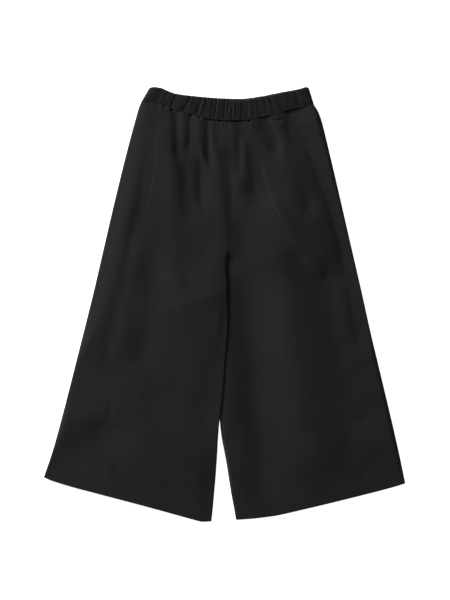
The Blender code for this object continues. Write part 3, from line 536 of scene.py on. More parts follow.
def height_of_front(leg, across, x, y, seam_x):
    """Height added to the upper layer's resting level."""
    side_run = table_value(SIDE_EASE_ROWS[leg["side"]], 1, leg["drop"])
    side = np.sin(0.5 * math.pi * np.clip(across / side_run, 0.0, 1.0))
    lip, start, run = (table_value(INNER_EASE_ROWS[leg["side"]], k, leg["drop"]) for k in (1, 2, 3))
    parted = soft_step((leg["drop"] - CROTCH_DROP) / (PARTED_DROP - CROTCH_DROP))   # 0 where the fronts are sewn
    from_inner = leg["chord"] - across
    inner = lip * soft_step(from_inner / INNER_LIP) + (1.0 - lip) * soft_step((from_inner - start) / run)
    inner = 1.0 - parted * (1.0 - inner)
    pinch = WAIST_PINCH + (1.0 - WAIST_PINCH) * soft_step(leg["drop"] / PINCH_RUN)
    puff = PUFF * soft_step(across / PUFF_RUN) * soft_step(leg["drop"] / PUFF_RUN)
    puff = puff * (1.0 - parted * (1.0 - soft_step(from_inner / INNER_PUFF_RUN[leg["side"]])))
    hem = 1.0 - HEM_FALL * soft_step((leg["drop"] - leg["length"] + HEM_FALL_RUN) / HEM_FALL_RUN)
    full = EASE * pinch * hem + folds_here(leg, x, y) * (0.5 + 0.5 * pinch) * hem + puff
    full = full + small_relief(leg, across, x, y, seam_x)
    full = FLOOR_BEND * np.logaddexp(0.0, (full + FLOOR) / FLOOR_BEND) - FLOOR
    return np.maximum(full * side * inner - dive_at(seam_x, leg["drop"], across), LOWEST_PIT)


# %% Lift of the overlap
def lift_of_overlap(leg, from_inner, z, up):
    """Rise of the right leg's inner strip onto the edge of the left leg; z is the resting level there."""
    if leg["side"] != "right":
        return np.zeros_like(from_inner)
    upper_run = table_value(INNER_EASE_ROWS["right"], 3, leg["drop"])   # there the fullness takes over from it
    strip = 1.0 - soft_step(from_inner / np.where(up, upper_run, LIFT_RUN))
    pressed = EDGE_PRESS * np.clip((z - leg["mid"]) / (leg["top"] - leg["mid"]), 0.0, 1.0)
    under = UNDER_PRESS * np.clip(1.0 - z / leg["mid"], 0.0, 1.0)
    lift = table_value(LIFT_ROWS, 1, leg["drop"])
    return (lift - np.where(up, pressed, -under) * np.minimum(1.0, lift / PRESSED_LIFT)) * strip


# %% Folds of the backs
BACK_FOLDS = (
    ("gather under the seam, right", ((-120, 450), (-118, 340), (-112, 290, 0)), 12, 14, 1.2),
    ("gather at the middle, right", ((-62, 450), (-60, 330), (-66, 250, 0)), 11, 13, 1.4),
    ("gather beside the seam, right", ((-24, 450), (-26, 350), (-30, 300, 0)), 8, 10, 1.0),
    ("gather beside the seam, left", ((30, 450), (33, 345), (36, 280, 0)), 9, 11, 1.2),
    ("gather at the middle, left", ((84, 450), (82, 330), (90, 260, 0)), 12, 14, 1.4),
    ("gather under the seam, left", ((136, 450), (139, 350), (150, 300, 0)), 12, 13, 1.1),
    ("long crease, right", ((-150, 230, 0), (-166, 100), (-190, -60), (-206, -200, 0)), 26, 22, 1.3),
    ("long crease, left", ((160, 240, 0), (186, 90), (214, -70), (236, -220, 0)), 22, 26, 1.3),
    ("crease near the hem, right", ((-290, -260, 0), (-200, -300), (-110, -320, 0)), 28, 30, 1.1),
    ("crease near the hem, left", ((90, -330, 0), (180, -310), (290, -270, 0)), 30, 28, 1.1),
)
BACK_RISE = 0.9             # a hollow in the underside is no deeper, so that the layers stay clear
BACK_SIDE, BACK_INNER, BACK_RAMP, BACK_TOP = 16.0, 16.0, 24.0, 3.0   # the folds fade over these runs at the edges


def height_of_back(leg, across, x, y):
    """How far the lower layer stands off the surface, in its few shallow creases."""
    window = soft_step(across / BACK_SIDE) * soft_step((leg["chord"] - across - BACK_INNER) / BACK_RAMP)
    raised = sum(one_fold(row, x, y) for row in BACK_FOLDS)
    return BACK_RISE * np.tanh(raised / BACK_RISE) * window * soft_step(leg["drop"] / BACK_TOP)


print("folds on the backs:", len(BACK_FOLDS))

# %% Outer and inner face of the cloth
def cloth_wall(leg, across, z, turn, up):
    """Outer and inner points of the cloth, for arrays of places; up says which of them are on the upper layer."""
    x, y, seam_x = place_in_plan(leg, across)
    lift = lift_of_overlap(leg, leg["chord"] - across, z, up)
    if not up.all():
        z = np.where(up, z, z + height_of_back(leg, across, x, y))
    if up.any():
        z = np.where(up, z + height_of_front(leg, across, x, y, seam_x), z)
    z = z + lift
    near_side = across < 0.5 * leg["chord"]
    level = np.cos(turn) * np.where(near_side, 1.0, leg["turned"])
    steep = np.sqrt(np.maximum(0.0, 1.0 - level ** 2)) * np.where(up, 1.0, -1.0)
    out = np.where(near_side, -level, level) * CLOTH / leg["chord"]
    outer = np.stack(np.broadcast_arrays(x, y + SETTLED_Y, z), -1)
    shift = (out * (leg["inner_x"] - leg["outer_x"]), out * (leg["inner_y"] - leg["outer_y"]), CLOTH * steep)
    return outer, outer - np.stack(np.broadcast_arrays(*shift), -1)


# %% [markdown]
# ## Grids of the panels
# Each panel is a grid of these places, closer together near the waist where the gathers are fine. The front runs
# from the side seam to the centre seam or the inseam. The back runs under the leg and, where the inseam has rolled
# forward, round the inner edge onto the front.

# %% Rows and edges of a panel
ROW_ENDS = (0, 12, 60, 140, 300)
ROW_STEPS = (0.8, 1.6, 2.4, 3.2, 3.9)
SIDE_ARC, SIDE_STEPS = 6.6, {True: 10, False: 8}    # length round the side edge, and its points on each layer


def loft_drops(length, coarse):
    """Stations of the fine loft, close together under the waist; always an odd number."""
    ends = (*ROW_ENDS, length)
    parts = [np.arange(a, b - 0.5 * step, step * coarse) for a, b, step in zip(ends[:-1], ends[1:], ROW_STEPS)]
    drops = np.append(np.concatenate(parts), length)
    return drops if len(drops) % 2 else np.delete(drops, -2)


def side_places(leg, up):
    """Places on the rounded edge at the side seam."""
    along = np.linspace(0.0, SIDE_ARC, SIDE_STEPS[up])[None, :] + 0.0 * leg["mid"]
    reach, rise, turn = rounded_edge(along, SIDE_REACH, (leg["top"] - leg["mid"]) if up else leg["mid"])
    return reach, leg["mid"] + (rise if up else -rise), turn, np.full(reach.shape, up)


def inner_places(leg, along):
    """Places near the inner edge: minus under it, plus over it."""
    up = along > 0.0
    rise_of = np.where(up, leg["top"] - leg["mid"], leg["mid"]) * leg["join"]
    reach, rise, turn = rounded_edge(np.abs(along), INNER_REACH, rise_of)
    over = leg["top"] - (leg["top"] - leg["mid"]) * leg["join"] + rise
    under = leg["mid"] * leg["join"] - rise
    return leg["chord"] - reach, np.where(up, over, under), turn, up


def flat_places(leg, start, stop, share, up):
    """Places on the flat of a layer, between the two edges."""
    across = start + (stop - start) * share
    level = leg["top"] if up else 0.0
    return across, level + 0.0 * across, np.full(across.shape, 0.5 * math.pi), np.full(across.shape, up)


# %% Places of a whole panel
FRONT_TAIL = np.array([9.0, 7.6, 6.3, 5.1, 4.0, 3.0, 2.1, 1.3, 0.6, 0.0])
JUST_OVER = 1e-6            # the last place of a front still counts as on the upper layer
BACK_TAIL_START, BACK_TAIL_COUNT, ROLL_FULL = -14.0, 24, 8.0


def back_tail(leg):
    """Lengths round the inner edge of a back panel, which follows the inseam where that has rolled forward."""
    share = np.linspace(0.0, 1.0, BACK_TAIL_COUNT)[None, :]
    flat = np.linspace(BACK_TAIL_START, 0.0, BACK_TAIL_COUNT)[None, :]
    bent = BACK_TAIL_START + (np.maximum(leg["roll"], ROLL_FULL) - BACK_TAIL_START) * share
    return flat + (bent - flat) * np.clip(leg["roll"] / ROLL_FULL, 0.0, 1.0)


def panel_places(leg, columns, upper):
    """Places of a front or a back, from the side seam across the leg to its last edge."""
    side = side_places(leg, upper)
    inner = inner_places(leg, np.maximum(leg["roll"] + FRONT_TAIL[None, :], JUST_OVER) if upper else back_tail(leg))
    share = np.linspace(0.0, 1.0, columns + 2)[None, 1:-1]
    groups = side, flat_places(leg, side[0][:, -1:], inner[0][:, :1], share, upper), inner
    return [np.concatenate([np.broadcast_to(group[k], group[0].shape) for group in groups], 1) for k in range(4)]


print("rows of the right front:", len(loft_drops(LEG_ROWS["right"][-1][0], 1)))

# %% [markdown]
# ## Closing a grid into a wall
# The outer face shows, so it has all the points. The inner face only has to give the cloth its thickness, so it
# takes every second one. A rim of five-sided faces joins them. The cloth's own grain, across and down the panel,
# is kept as the UV map, in metres, so that the weave follows the cloth.

# %% Closed walls
SHARP_ANGLE = math.radians(60.0)     # the cut edge of the cloth stays crisp


def edge_ring(count_down, count_across):
    """Indices of a grid's border, once round."""
    index = np.arange(count_down * count_across).reshape(count_down, count_across)
    return np.concatenate([index[0, :-1], index[:-1, -1], index[-1, :0:-1], index[:0:-1, 0]])


def grid_faces(count_down, count_across):
    """Four-sided faces of a grid."""
    index = np.arange(count_down * count_across).reshape(count_down, count_across)
    return np.stack([index[:-1, :-1], index[:-1, 1:], index[1:, 1:], index[1:, :-1]], -1).reshape(-1, 4)


def wall_object(name, outer, inner, grain):
    """Closed thin wall from two grids of points in millimetres, with the cloth's grain as its UV map."""
    down, across = outer.shape[:2]
    inner = inner[::2, ::2]
    base = down * across
    points = np.concatenate([outer.reshape(-1, 3), inner.reshape(-1, 3)]) * MM
    ring, inner_ring = edge_ring(down, across), edge_ring(*inner.shape[:2]) + base
    rim = np.stack([ring[0::2], inner_ring, np.roll(inner_ring, -1), np.roll(ring[0::2], -1), ring[1::2]], -1)
    faces = grid_faces(down, across).tolist()
    faces += (grid_faces(*inner.shape[:2])[:, ::-1] + base).tolist() + rim.tolist()
    mesh = bpy.data.meshes.new(name)
    mesh.from_pydata(points.tolist(), [], faces)
    mesh.calc_loop_triangles()
    corners = np.empty(3 * len(mesh.loop_triangles), int)
    mesh.loop_triangles.foreach_get("vertices", corners)
    a, b, c = (points[corners.reshape(-1, 3)[:, k]] for k in range(3))
    if (a * np.cross(b, c)).sum() < 0.0:
        mesh.flip_normals()
    uv = np.concatenate([grain.reshape(-1, 2), grain[::2, ::2].reshape(-1, 2)])
    loops = np.empty(len(mesh.loops), int)
    mesh.loops.foreach_get("vertex_index", loops)
    mesh.uv_layers.new(name="grain").data.foreach_set("uv", uv[loops].ravel())
    mesh.shade_smooth()
    mesh.set_sharp_from_angle(angle=SHARP_ANGLE)
    print(name, "rows", down, "columns", across, "triangles", len(mesh.loop_triangles))
    return put_in_scene(name, mesh)


# %% Panels
PANEL_COLUMNS = {True: 243, False: 81}
ROWS_APART = {True: 1.0, False: 2.2}    # the rows of a back lie further apart
HEM_SEWING_INSET = 9.0      # the hem's sewing stops this far from the seams
sewing_lines = {}           # for each piece, the line along which it is sewn


def odd_count(count):
    return count // QUICK + 1 - count // QUICK % 2


def make_panel(side, upper):
    """One panel of a leg as a thin wall of cloth."""
    leg = measure_leg(side, loft_drops(LEG_ROWS[side][-1][0], QUICK * ROWS_APART[upper]))
    across, z, turn, up = panel_places(leg, odd_count(PANEL_COLUMNS[upper]), upper)
    outer, inner = cloth_wall(leg, across, z, turn, up)
    width = np.cumsum(np.linalg.norm(np.diff(outer, axis=1, prepend=outer[:, :1]), axis=2), axis=1)
    grain = np.stack([width, np.broadcast_to(leg["drop"], width.shape)], -1) * MM
    name = ("cloth_front_" if upper else "cloth_back_") + side
    row = np.abs(leg["drop"][:, 0] - leg["length"] + HEM_DEPTH).argmin()
    edges = leg["roll"][row, 0] + HEM_SEWING_INSET
    sewn = (across[row] > HEM_SEWING_INSET) & (across[row] < leg["chord"][row, 0] - edges)
    sewing_lines[name] = outer[row, sewn]
    return wall_object(name, outer, inner, grain)


panels = {(side, upper): make_panel(side, upper) for side in ("right", "left") for upper in (True, False)}

# %% [markdown]
# ## Waistband
# The casing is one strip folded over elastic and sewn to the legs. It is lofted along the waist: a small rounded
# section at each step, whose outer face carries the furrows, the pinched slits and the row of sewing that holds the
# fold. The underside of the back half lies flat on the surface.

# %% Outline of the casing
BAND_BOTTOM_X, BAND_TOP_X = (-167.0, 179.0), (-150.4, 168.6)
BAND_TOP_ROWS = (
    (0, 432.4), (0.022, 434.6), (0.066, 433.4), (0.135, 424.5), (0.192, 419.9), (0.318, 415.5), (0.443, 412.3),
    (0.569, 411.1), (0.695, 415.7), (0.821, 423.7), (0.947, 431.3), (0.985, 434.6), (1, 432.8),
)
BAND_LEVEL = {True: 3.75, False: 3.45}
BAND_FULL = {True: 4.2, False: 3.45}    # thickness of each half at its fullest
BAND_END_REACH, BAND_END_THICKNESS = 8.0, 0.7
BAND_TILT = 2.0             # the top edge stands higher than the sewn one
SECTION_ROWS = (            # height, thickness and depth of the furrows; the edge sewn to the legs is thick
    (0, 0.80, 0), (0.035, 0.86, 0.25), (0.13, 0.96, 0.85), (0.38, 1, 1), (0.64, 1, 1), (0.88, 0.97, 0.9),
    (0.965, 0.78, 0.45), (1, 0.32, 0.1),
)
BAND_STEPS, BAND_ROWS = {True: 801, False: 361}, {True: 41, False: 21}
BAND_ENDS, EVEN_START = np.array([0.0, 0.1, 0.3, 0.6, 1.0, 1.5, 2.1]), 2.8


def band_grid(front):
    """Places along the band and heights up it, closer together at its ends and edges."""
    first, last = BAND_MIDDLE
    even = np.linspace(first + EVEN_START, last - EVEN_START, odd_count(BAND_STEPS[front]))
    x = np.concatenate([first + BAND_ENDS, even, last - BAND_ENDS[::-1]])[:, None]
    t = np.linspace(0.0, 1.0, BAND_ROWS[front])[None, :]
    return x, 0.5 * (0.5 - 0.5 * np.cos(math.pi * t)) + 0.5 * t


print("thickness of the casing, mm:", BAND_FULL[True] + BAND_FULL[False])

# %% Face of the casing
BAND_GAIN = 0.35            # the ridges are softer than the solid's, since pinched slits are added
BAND_HEIGHT = 42.0
TIGHT_LEAST, TIGHT_MIDDLE, TIGHT_WIDTH = 0.35, 8.0, 75.0    # the gathers are finest in the middle
FINE_ROW = (0.2, 3.1, 15.0, 23, 0.1)    # height, two sizes, seed and sinking of the fine uneven gathers
SLOW_ROW = (0.45, 11.0, 30.0, 29, 0.2)  # the same of the slow ones
MIRROR_X = 8.0              # the back's furrows mirror the front's, where x and this less x change places
SEWING_UP, SEWING_WIDTH, SEWING_DEPTH = 0.10, 0.03, 0.35    # the first two are shares of the casing's height
LOWEST_CASING, CASING_BEND = 0.3, 0.3   # the casing's face stays this far off its middle level, and bends so softly
SCALLOP, SCALLOP_DEPTH = 2.6, 1.9       # how far the top edge dips, where the furrow is this deep


def uneven(x, up, row):
    """Uneven gathers of one size."""
    height, wide, long, seed, sinking = row
    return height * soft_noise(x, BAND_HEIGHT * up, wide, long, seed) - sinking


def casing_relief(x, up, front):
    """How far the casing's face lies below its ridges."""
    rows = GATHER_ROWS if front else sorted((MIRROR_X - middle, -lean, deep) for middle, lean, deep in GATHER_ROWS)
    relief = BAND_GAIN * gather_relief(x, up, rows)
    if front:
        tight = TIGHT_LEAST + (1.0 - TIGHT_LEAST) * np.exp(-((x - TIGHT_MIDDLE) / TIGHT_WIDTH) ** 4)
        relief = relief + pinch_relief(x, up) + tight * uneven(x, up, FINE_ROW) + uneven(x, up, SLOW_ROW)
    return relief


def casing_depth(x, up, front, swell):
    """How far the casing's face stands off its middle level."""
    thick, deep = (table_value(SECTION_ROWS, k, up) for k in (1, 2))
    relief = casing_relief(x, up, front) * deep
    full = BAND_FULL[front]
    out = (BAND_END_THICKNESS + (full - BAND_END_THICKNESS) * swell) * thick
    sewing = SEWING_DEPTH * np.exp(-((up - SEWING_UP) / SEWING_WIDTH) ** 2)
    if front:
        out = out + BAND_TILT * up * swell * deep + (relief - sewing) * swell
        return LOWEST_CASING + CASING_BEND * np.logaddexp(0.0, (out - LOWEST_CASING) / CASING_BEND)
    out = np.minimum(out, full) + (np.minimum(0.0, relief) - sewing) * swell
    return np.maximum(out, LOWEST_CASING)


print("row of sewing on the casing, mm above the seam:", SEWING_UP * BAND_HEIGHT)

# %% Casing
BAND_FLAT = (0.45, 0.042)   # one half of the strip before it is gathered, in metres


def make_band(front):
    """Front or back half of the waistband as a closed casing."""
    x, up = band_grid(front)
    share = (x - BAND_MIDDLE[0]) / (BAND_MIDDLE[1] - BAND_MIDDLE[0])
    bottom_x, top_x = (start + (end - start) * share for start, end in (BAND_BOTTOM_X, BAND_TOP_X))
    from_end = np.minimum(x - BAND_MIDDLE[0], BAND_MIDDLE[1] - x)
    swell = np.sqrt(np.maximum(0.0, 1.0 - (1.0 - np.minimum(1.0, from_end / BAND_END_REACH)) ** 2))
    scallop = SCALLOP * casing_relief(x, np.ones((1, 1)), front) / SCALLOP_DEPTH
    top_y = table_value(BAND_TOP_ROWS, 1, share) + scallop * swell
    bottom_y = table_value(SEAM_ROWS, 1, bottom_x)
    out = casing_depth(x, up, front, swell)
    place = bottom_x + (top_x - bottom_x) * up, bottom_y + (top_y - bottom_y) * up + SETTLED_Y
    level = BAND_LEVEL[front]
    outer = np.stack([*place, level + (out if front else -out)], -1)
    inner = np.stack([*place, np.full(out.shape, level)], -1)
    grain = np.stack(np.broadcast_arrays(share * BAND_FLAT[0], up * BAND_FLAT[1]), -1)
    name = "casing_front" if front else "casing_back"
    ends = len(BAND_ENDS) + 2
    sewing_lines[name] = outer[ends:-ends, np.abs(up[0] - SEWING_UP).argmin()]
    return wall_object(name, outer, inner, grain)


bands = {front: make_band(front) for front in (True, False)}

# %% [markdown]
# ## Cloth finish
# The photo shows a dense black cloth, matt with a faint sheen where it turns away. The colour is almost even, with
# soft cloudiness. A fine twill is pressed into the surface as bump: slanted ribs of thread, then the crumple that
# is too small for the mesh. The weave reads the grain map, so it turns with each panel.

# %% Helpers for materials
def link(tree, start, end):
    """Joins two sockets."""
    tree.links.new(start, end)


def set_values(node, **values):
    """Sets a node's properties and input values; an underscore in a name stands for a space."""
    for key, value in values.items():
        if key in node.bl_rna.properties:
            setattr(node, key, value)
        else:
            node.inputs[key.replace("_", " ")].default_value = value
    return node


def add_node(tree, kind, **values):
    """A new node with its properties and input values set."""
    return set_values(tree.nodes.new(kind), **values)


def new_material(name):
    """A new material with its tree and its shader."""
    material = bpy.data.materials.new(name)
    material.use_nodes = True
    return material, material.node_tree, material.node_tree.nodes["Principled BSDF"]


def spread(tree, source, low, high, start=0.0, end=1.0):
    """A value from start to end turned into one from low to high."""
    node = add_node(tree, "ShaderNodeMapRange", From_Min=start, From_Max=end, To_Min=low, To_Max=high)
    link(tree, source, node.inputs["Value"])
    return node.outputs["Result"]


# %% Material of the cloth
RIB, RIB_SLANT = 0.0011, math.radians(62.0)     # the twill's rib in metres, and its slant
SHEEN, SHEEN_TINT = 0.02, (0.8, 0.82, 0.85, 1.0)
PILE = 0.35                 # how much the threads stand out beside the ribs


def twill_cloth(name, colour):
    """Matt black twill: slanted ribs on the grain map, cloudy colour, small crumple, a soft sheen."""
    material, tree, shader = new_material(name)
    material.diffuse_color = (*colour, 1.0)
    set_values(shader, Metallic=0.0, Specular_IOR_Level=0.08, Sheen_Weight=SHEEN, Sheen_Roughness=0.5,
               Sheen_Tint=SHEEN_TINT)
    grain = add_node(tree, "ShaderNodeUVMap", uv_map="grain")
    turned = add_node(tree, "ShaderNodeMapping", Rotation=(0.0, 0.0, RIB_SLANT), Scale=(1.0 / RIB, 1.0 / RIB, 1.0))
    link(tree, grain.outputs["UV"], turned.inputs["Vector"])
    ribs = add_node(tree, "ShaderNodeTexWave", Scale=0.32, Distortion=1.2, Detail=2.0, Detail_Scale=1.6)
    threads = add_node(tree, "ShaderNodeTexNoise", Scale=2.2, Detail=3.0, Roughness=0.6)
    place = add_node(tree, "ShaderNodeTexCoord")
    cloud = add_node(tree, "ShaderNodeTexNoise", Scale=14.0, Detail=4.0, Roughness=0.55)
    crumple = add_node(tree, "ShaderNodeTexNoise", Scale=210.0, Detail=3.0, Roughness=0.5)
    for texture, vector in ((ribs, turned.outputs["Vector"]), (threads, turned.outputs["Vector"]),
                            (cloud, place.outputs["Object"]), (crumple, place.outputs["Object"])):
        link(tree, vector, texture.inputs["Vector"])
    shade = add_node(tree, "ShaderNodeMath", operation="MULTIPLY")
    link(tree, spread(tree, cloud.outputs["Fac"], 0.90, 1.10, 0.3, 0.7), shade.inputs[0])
    link(tree, spread(tree, ribs.outputs["Fac"], 0.75, 1.2), shade.inputs[1])
    tint = add_node(tree, "ShaderNodeVectorMath", operation="SCALE")
    tint.inputs[0].default_value = colour
    link(tree, shade.outputs["Value"], tint.inputs["Scale"])
    link(tree, tint.outputs["Vector"], shader.inputs["Base Color"])
    link(tree, spread(tree, threads.outputs["Fac"], 0.72, 0.92), shader.inputs["Roughness"])
    pile = add_node(tree, "ShaderNodeMath", operation="MULTIPLY_ADD")
    pile.inputs[1].default_value = PILE
    link(tree, threads.outputs["Fac"], pile.inputs[0])
    link(tree, ribs.outputs["Fac"], pile.inputs[2])
    weave = add_node(tree, "ShaderNodeBump", Strength=0.5, Distance=0.0001)
    creased = add_node(tree, "ShaderNodeBump", Strength=0.15, Distance=0.0005)
    link(tree, pile.outputs["Value"], weave.inputs["Height"])
    link(tree, crumple.outputs["Fac"], creased.inputs["Height"])
    link(tree, weave.outputs["Normal"], creased.inputs["Normal"])
    link(tree, creased.outputs["Normal"], shader.inputs["Normal"])
    return material


leg_cloth = twill_cloth("leg_twill", (0.0155, 0.0155, 0.0162))
# The waistband is the same twill as the legs; its darker colour is painted shade of the gathers' crimps.
band_cloth_painted_shade = twill_cloth("waistband_twill_painted_shade", (0.0125, 0.0125, 0.0131))
print("materials:", leg_cloth.name, band_cloth_painted_shade.name)

# %% [markdown]
# ## Sewing
# A row of lockstitches holds the fold of the casing over its elastic, and small pricks of a blind stitch hold the
# hem. Each stitch could be placed by a loop, but they are all alike and follow a line on the cloth, which is what
# Geometry Nodes do well. One tree serves both, with its spacing, length and thread as named inputs.

# %% Material of the thread
def sewing_thread():
    """Black thread, a little smoother than the cloth, with its twist as fine bump."""
    material, tree, shader = new_material("sewing_thread")
    set_values(shader, Specular_IOR_Level=0.25)
    place = add_node(tree, "ShaderNodeTexCoord")
    fibres = add_node(tree, "ShaderNodeTexNoise", Scale=900.0, Detail=2.0)
    twist = add_node(tree, "ShaderNodeTexWave", Scale=1500.0, Distortion=1.0)
    for texture in (fibres, twist):
        link(tree, place.outputs["Object"], texture.inputs["Vector"])
    link(tree, spread(tree, fibres.outputs["Fac"], 0.009, 0.016), shader.inputs["Base Color"])
    link(tree, spread(tree, fibres.outputs["Fac"], 0.45, 0.65), shader.inputs["Roughness"])
    bump = add_node(tree, "ShaderNodeBump", Strength=0.4, Distance=0.00005)
    link(tree, twist.outputs["Fac"], bump.inputs["Height"])
    link(tree, bump.outputs["Normal"], shader.inputs["Normal"])
    return material


thread = sewing_thread()
print("material:", thread.name)

# %% Tree of a row of stitches
STITCH_INPUTS = (
    ("Spacing", "NodeSocketFloat"), ("Length", "NodeSocketFloat"), ("Thread", "NodeSocketFloat"),
    ("Unevenness", "NodeSocketFloat"), ("Seed", "NodeSocketInt"), ("Finish", "NodeSocketMaterial"),
)
STITCH_NODES = {            # a bead, stretched to a stitch, on each point of the line
    "given": ("NodeGroupInput", {}), "result": ("NodeGroupOutput", {}),
    "line": ("GeometryNodeMeshToCurve", {}), "spaced": ("GeometryNodeResampleCurve", {"mode": "LENGTH"}),
    "along": ("GeometryNodeInputTangent", {}), "turned": ("FunctionNodeAlignRotationToVector", {"axis": "X"}),
    "bead": ("GeometryNodeMeshUVSphere", {"Segments": 8, "Rings": 5, "Radius": 0.5}),
    "size": ("ShaderNodeCombineXYZ", {}), "shaped": ("GeometryNodeTransform", {}),
    "change": ("FunctionNodeRandomValue", {"data_type": "FLOAT"}),
    "least": ("ShaderNodeMath", {"operation": "SUBTRACT"}), "most": ("ShaderNodeMath", {"operation": "ADD"}),
    "placed": ("GeometryNodeInstanceOnPoints", {}), "real": ("GeometryNodeRealizeInstances", {}),
    "finished": ("GeometryNodeSetMaterial", {}),
}
STITCH_LINKS = (
    ("given", "Geometry", "line", "Mesh"), ("line", "Curve", "spaced", "Curve"),
    ("given", "Spacing", "spaced", "Length"), ("along", "Tangent", "turned", "Vector"),
    ("given", "Length", "size", "X"), ("given", "Thread", "size", "Y"), ("given", "Thread", "size", "Z"),
    ("bead", "Mesh", "shaped", "Geometry"), ("size", "Vector", "shaped", "Scale"),
    ("least", "Value", "change", "Min"), ("most", "Value", "change", "Max"), ("given", "Seed", "change", "Seed"),
    ("spaced", "Curve", "placed", "Points"), ("shaped", "Geometry", "placed", "Instance"),
    ("turned", "Rotation", "placed", "Rotation"), ("change", "Value", "placed", "Scale"),
    ("placed", "Instances", "real", "Geometry"), ("real", "Geometry", "finished", "Geometry"),
    ("given", "Finish", "finished", "Material"), ("finished", "Geometry", "result", "Geometry"),
)


def in_use(sockets, name):
    """The socket of that name that the node's settings leave in use."""
    return next(socket for socket in sockets if socket.enabled and socket.name == name)


def stitch_tree():
    """Rounded stitches laid along a line, end to end, each a little longer or shorter than the next."""
    tree = bpy.data.node_groups.new("row_of_stitches", "GeometryNodeTree")
    for name, kind in (("Geometry", "NodeSocketGeometry"), *STITCH_INPUTS):
        tree.interface.new_socket(name, in_out="INPUT", socket_type=kind)
    tree.interface.new_socket("Geometry", in_out="OUTPUT", socket_type="NodeSocketGeometry")
    nodes = {name: add_node(tree, kind, **values) for name, (kind, values) in STITCH_NODES.items()}
    for node in (nodes["least"], nodes["most"]):
        node.inputs[0].default_value = 1.0
        link(tree, nodes["given"].outputs["Unevenness"], node.inputs[1])
    for giver, output, taker, entry in STITCH_LINKS:
        link(tree, in_use(nodes[giver].outputs, output), in_use(nodes[taker].inputs, entry))
    return tree


row_of_stitches = stitch_tree()
print("inputs of the tree:", [name for name, kind in STITCH_INPUTS])

# %% Rows of stitches
STITCH_ROWS = {             # spacing, length and thread in millimetres, how uneven, and the seed
    "casing": (2.7, 2.1, 0.34, 0.12, 4),
    "cloth": (7.0, 1.1, 0.26, 0.25, 9),
}
LOWEST_THREAD = 0.2         # under the garment the thread is pressed into the cloth, level with the surface


def sew(piece, line):
    """Stitches along a line of points in millimetres, as a plain mesh."""
    values = STITCH_ROWS[piece.split("_")[0]]
    line = np.column_stack([line[:, :2], np.maximum(line[:, 2], LOWEST_THREAD)])
    mesh = bpy.data.meshes.new("line_of_" + piece)
    mesh.from_pydata((line * MM).tolist(), [(k, k + 1) for k in range(len(line) - 1)], [])
    guide = put_in_scene("line_of_" + piece, mesh)
    modifier = guide.modifiers.new("stitches", "NODES")
    modifier.node_group = row_of_stitches
    entries = [item for item in row_of_stitches.interface.items_tree if item.in_out == "INPUT"]
    sockets = {item.name: item.identifier for item in entries}
    for (name, kind), value in zip(STITCH_INPUTS, (*(v * MM for v in values[:3]), *values[3:], thread)):
        modifier[sockets[name]] = value
    bpy.context.view_layer.update()
    evaluated = guide.evaluated_get(bpy.context.evaluated_depsgraph_get())
    sewn = bpy.data.meshes.new_from_object(evaluated)
    sewn.name = "stitches_" + piece
    guide.modifiers.remove(modifier)
    bpy.data.objects.remove(guide)
    print(sewn.name, "faces", len(sewn.polygons), "finishes", [m.name if m else "none" for m in sewn.materials])
    sewn.materials.clear()              # the bare line leaves an empty finish in front of the thread's
    sewn.materials.append(thread)
    sewn.polygons.foreach_set("material_index", [0] * len(sewn.polygons))
    sewn.shade_smooth()
    stitches = put_in_scene(sewn.name, sewn)
    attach(stitches, "root")
    return stitches


sewing = {piece: sew(piece, line) for piece, line in sewing_lines.items()}

# %% [markdown]
# ## Placing the pieces on their solids
# Each shell stands for its solid, rides on the garment's one body, and says which finish it takes.

# %% Pieces on their solids
for (side, upper), thing in panels.items():
    thing.data.materials.append(leg_cloth)
    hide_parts(("front_" if upper else "back_") + side + "_leg")
    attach(thing, "root")
# The casing takes the twill whose darker colour is painted shade of its gathers.
for front, thing in bands.items():
    thing.data.materials.append(band_cloth_painted_shade)
    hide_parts("waistband_front" if front else "waistband_back")
    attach(thing, "root")
print("sheets:", len(panels) + len(bands), "rows of sewing:", len(sewing))

# %% [markdown]
# ## Studio
# A pale floor, a large soft light low at the upper left, weak ones on the right and overhead, and an even white
# surround. The low light grazes the cloth, so a fold only a few millimetres high still shows, as in the photo.

# %% Floor
FLOOR_SIZE, FLOOR_DROP = 8.0, 0.4 * MM
TABLE_GLOW = 0.9


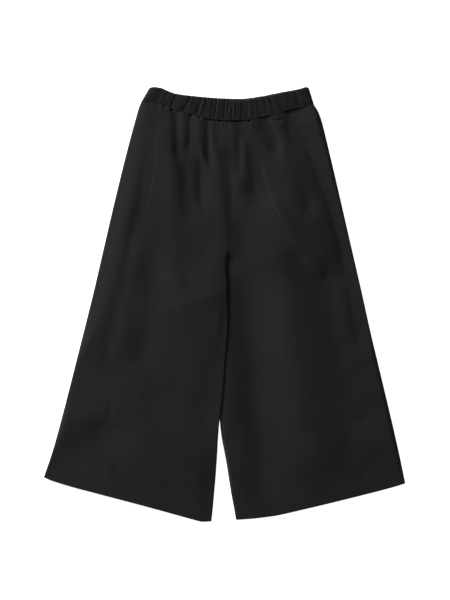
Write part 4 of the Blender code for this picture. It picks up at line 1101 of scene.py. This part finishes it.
def pale_floor():
    """A wide pale surface under the garment, which glows as a light table does."""
    mesh = bpy.data.meshes.new("studio_floor")
    s = FLOOR_SIZE
    mesh.from_pydata([(-s, -s, 0.0), (s, -s, 0.0), (s, s, 0.0), (-s, s, 0.0)], [], [(0, 1, 2, 3)])
    floor = put_in_scene("studio_floor", mesh)
    floor.location.z = -FLOOR_DROP
    material, tree, shader = new_material("pale_floor")
    set_values(shader, Roughness=0.9, Specular_IOR_Level=0.1, Emission_Color=(1.0, 1.0, 1.0, 1.0),
               Emission_Strength=TABLE_GLOW)
    place = add_node(tree, "ShaderNodeTexCoord")
    mottle = add_node(tree, "ShaderNodeTexNoise", Scale=3.0, Detail=2.0)
    link(tree, place.outputs["Object"], mottle.inputs["Vector"])
    link(tree, spread(tree, mottle.outputs["Fac"], 0.90, 0.93), shader.inputs["Base Color"])
    mesh.materials.append(material)


pale_floor()
print("floor, metres across:", 2 * FLOOR_SIZE)

# %% Lights
LIGHT_ROWS = (              # name, azimuth, elevation, distance, size and power
    ("key_upper_left", 149.0, 17.5, 6.4, 2.0, 860.0),
    ("fill_right", 10.0, 30.0, 4.0, 1.8, 14.0),
    ("overhead", 90.0, 80.0, 4.6, 2.4, 16.0),
)
SURROUND = 0.13


def soft_light(name, azimuth, elevation, distance, size, power):
    """A square soft light that looks at the garment from a compass direction, 0 at +X and 90 at +Y."""
    data = bpy.data.lights.new(name, "AREA")
    data.shape = "SQUARE"
    data.size = size
    data.energy = power
    light = put_in_scene(name, data)
    turn, rise = math.radians(azimuth), math.radians(elevation)
    light.location = (distance * math.cos(rise) * math.cos(turn), distance * math.cos(rise) * math.sin(turn),
                      distance * math.sin(rise))
    light.rotation_euler = (0.5 * math.pi - rise, 0.0, turn + 0.5 * math.pi)


for row in LIGHT_ROWS:
    soft_light(*row)
world = bpy.data.worlds.new("bright_surround")
world.use_nodes = True
set_values(world.node_tree.nodes["Background"], Color=(1.0, 1.0, 1.0, 1.0), Strength=SURROUND)
bpy.context.scene.world = world
bpy.context.scene.view_settings.view_transform = "Standard"
bpy.context.scene.view_settings.look = "None"
print("lights:", len(LIGHT_ROWS))
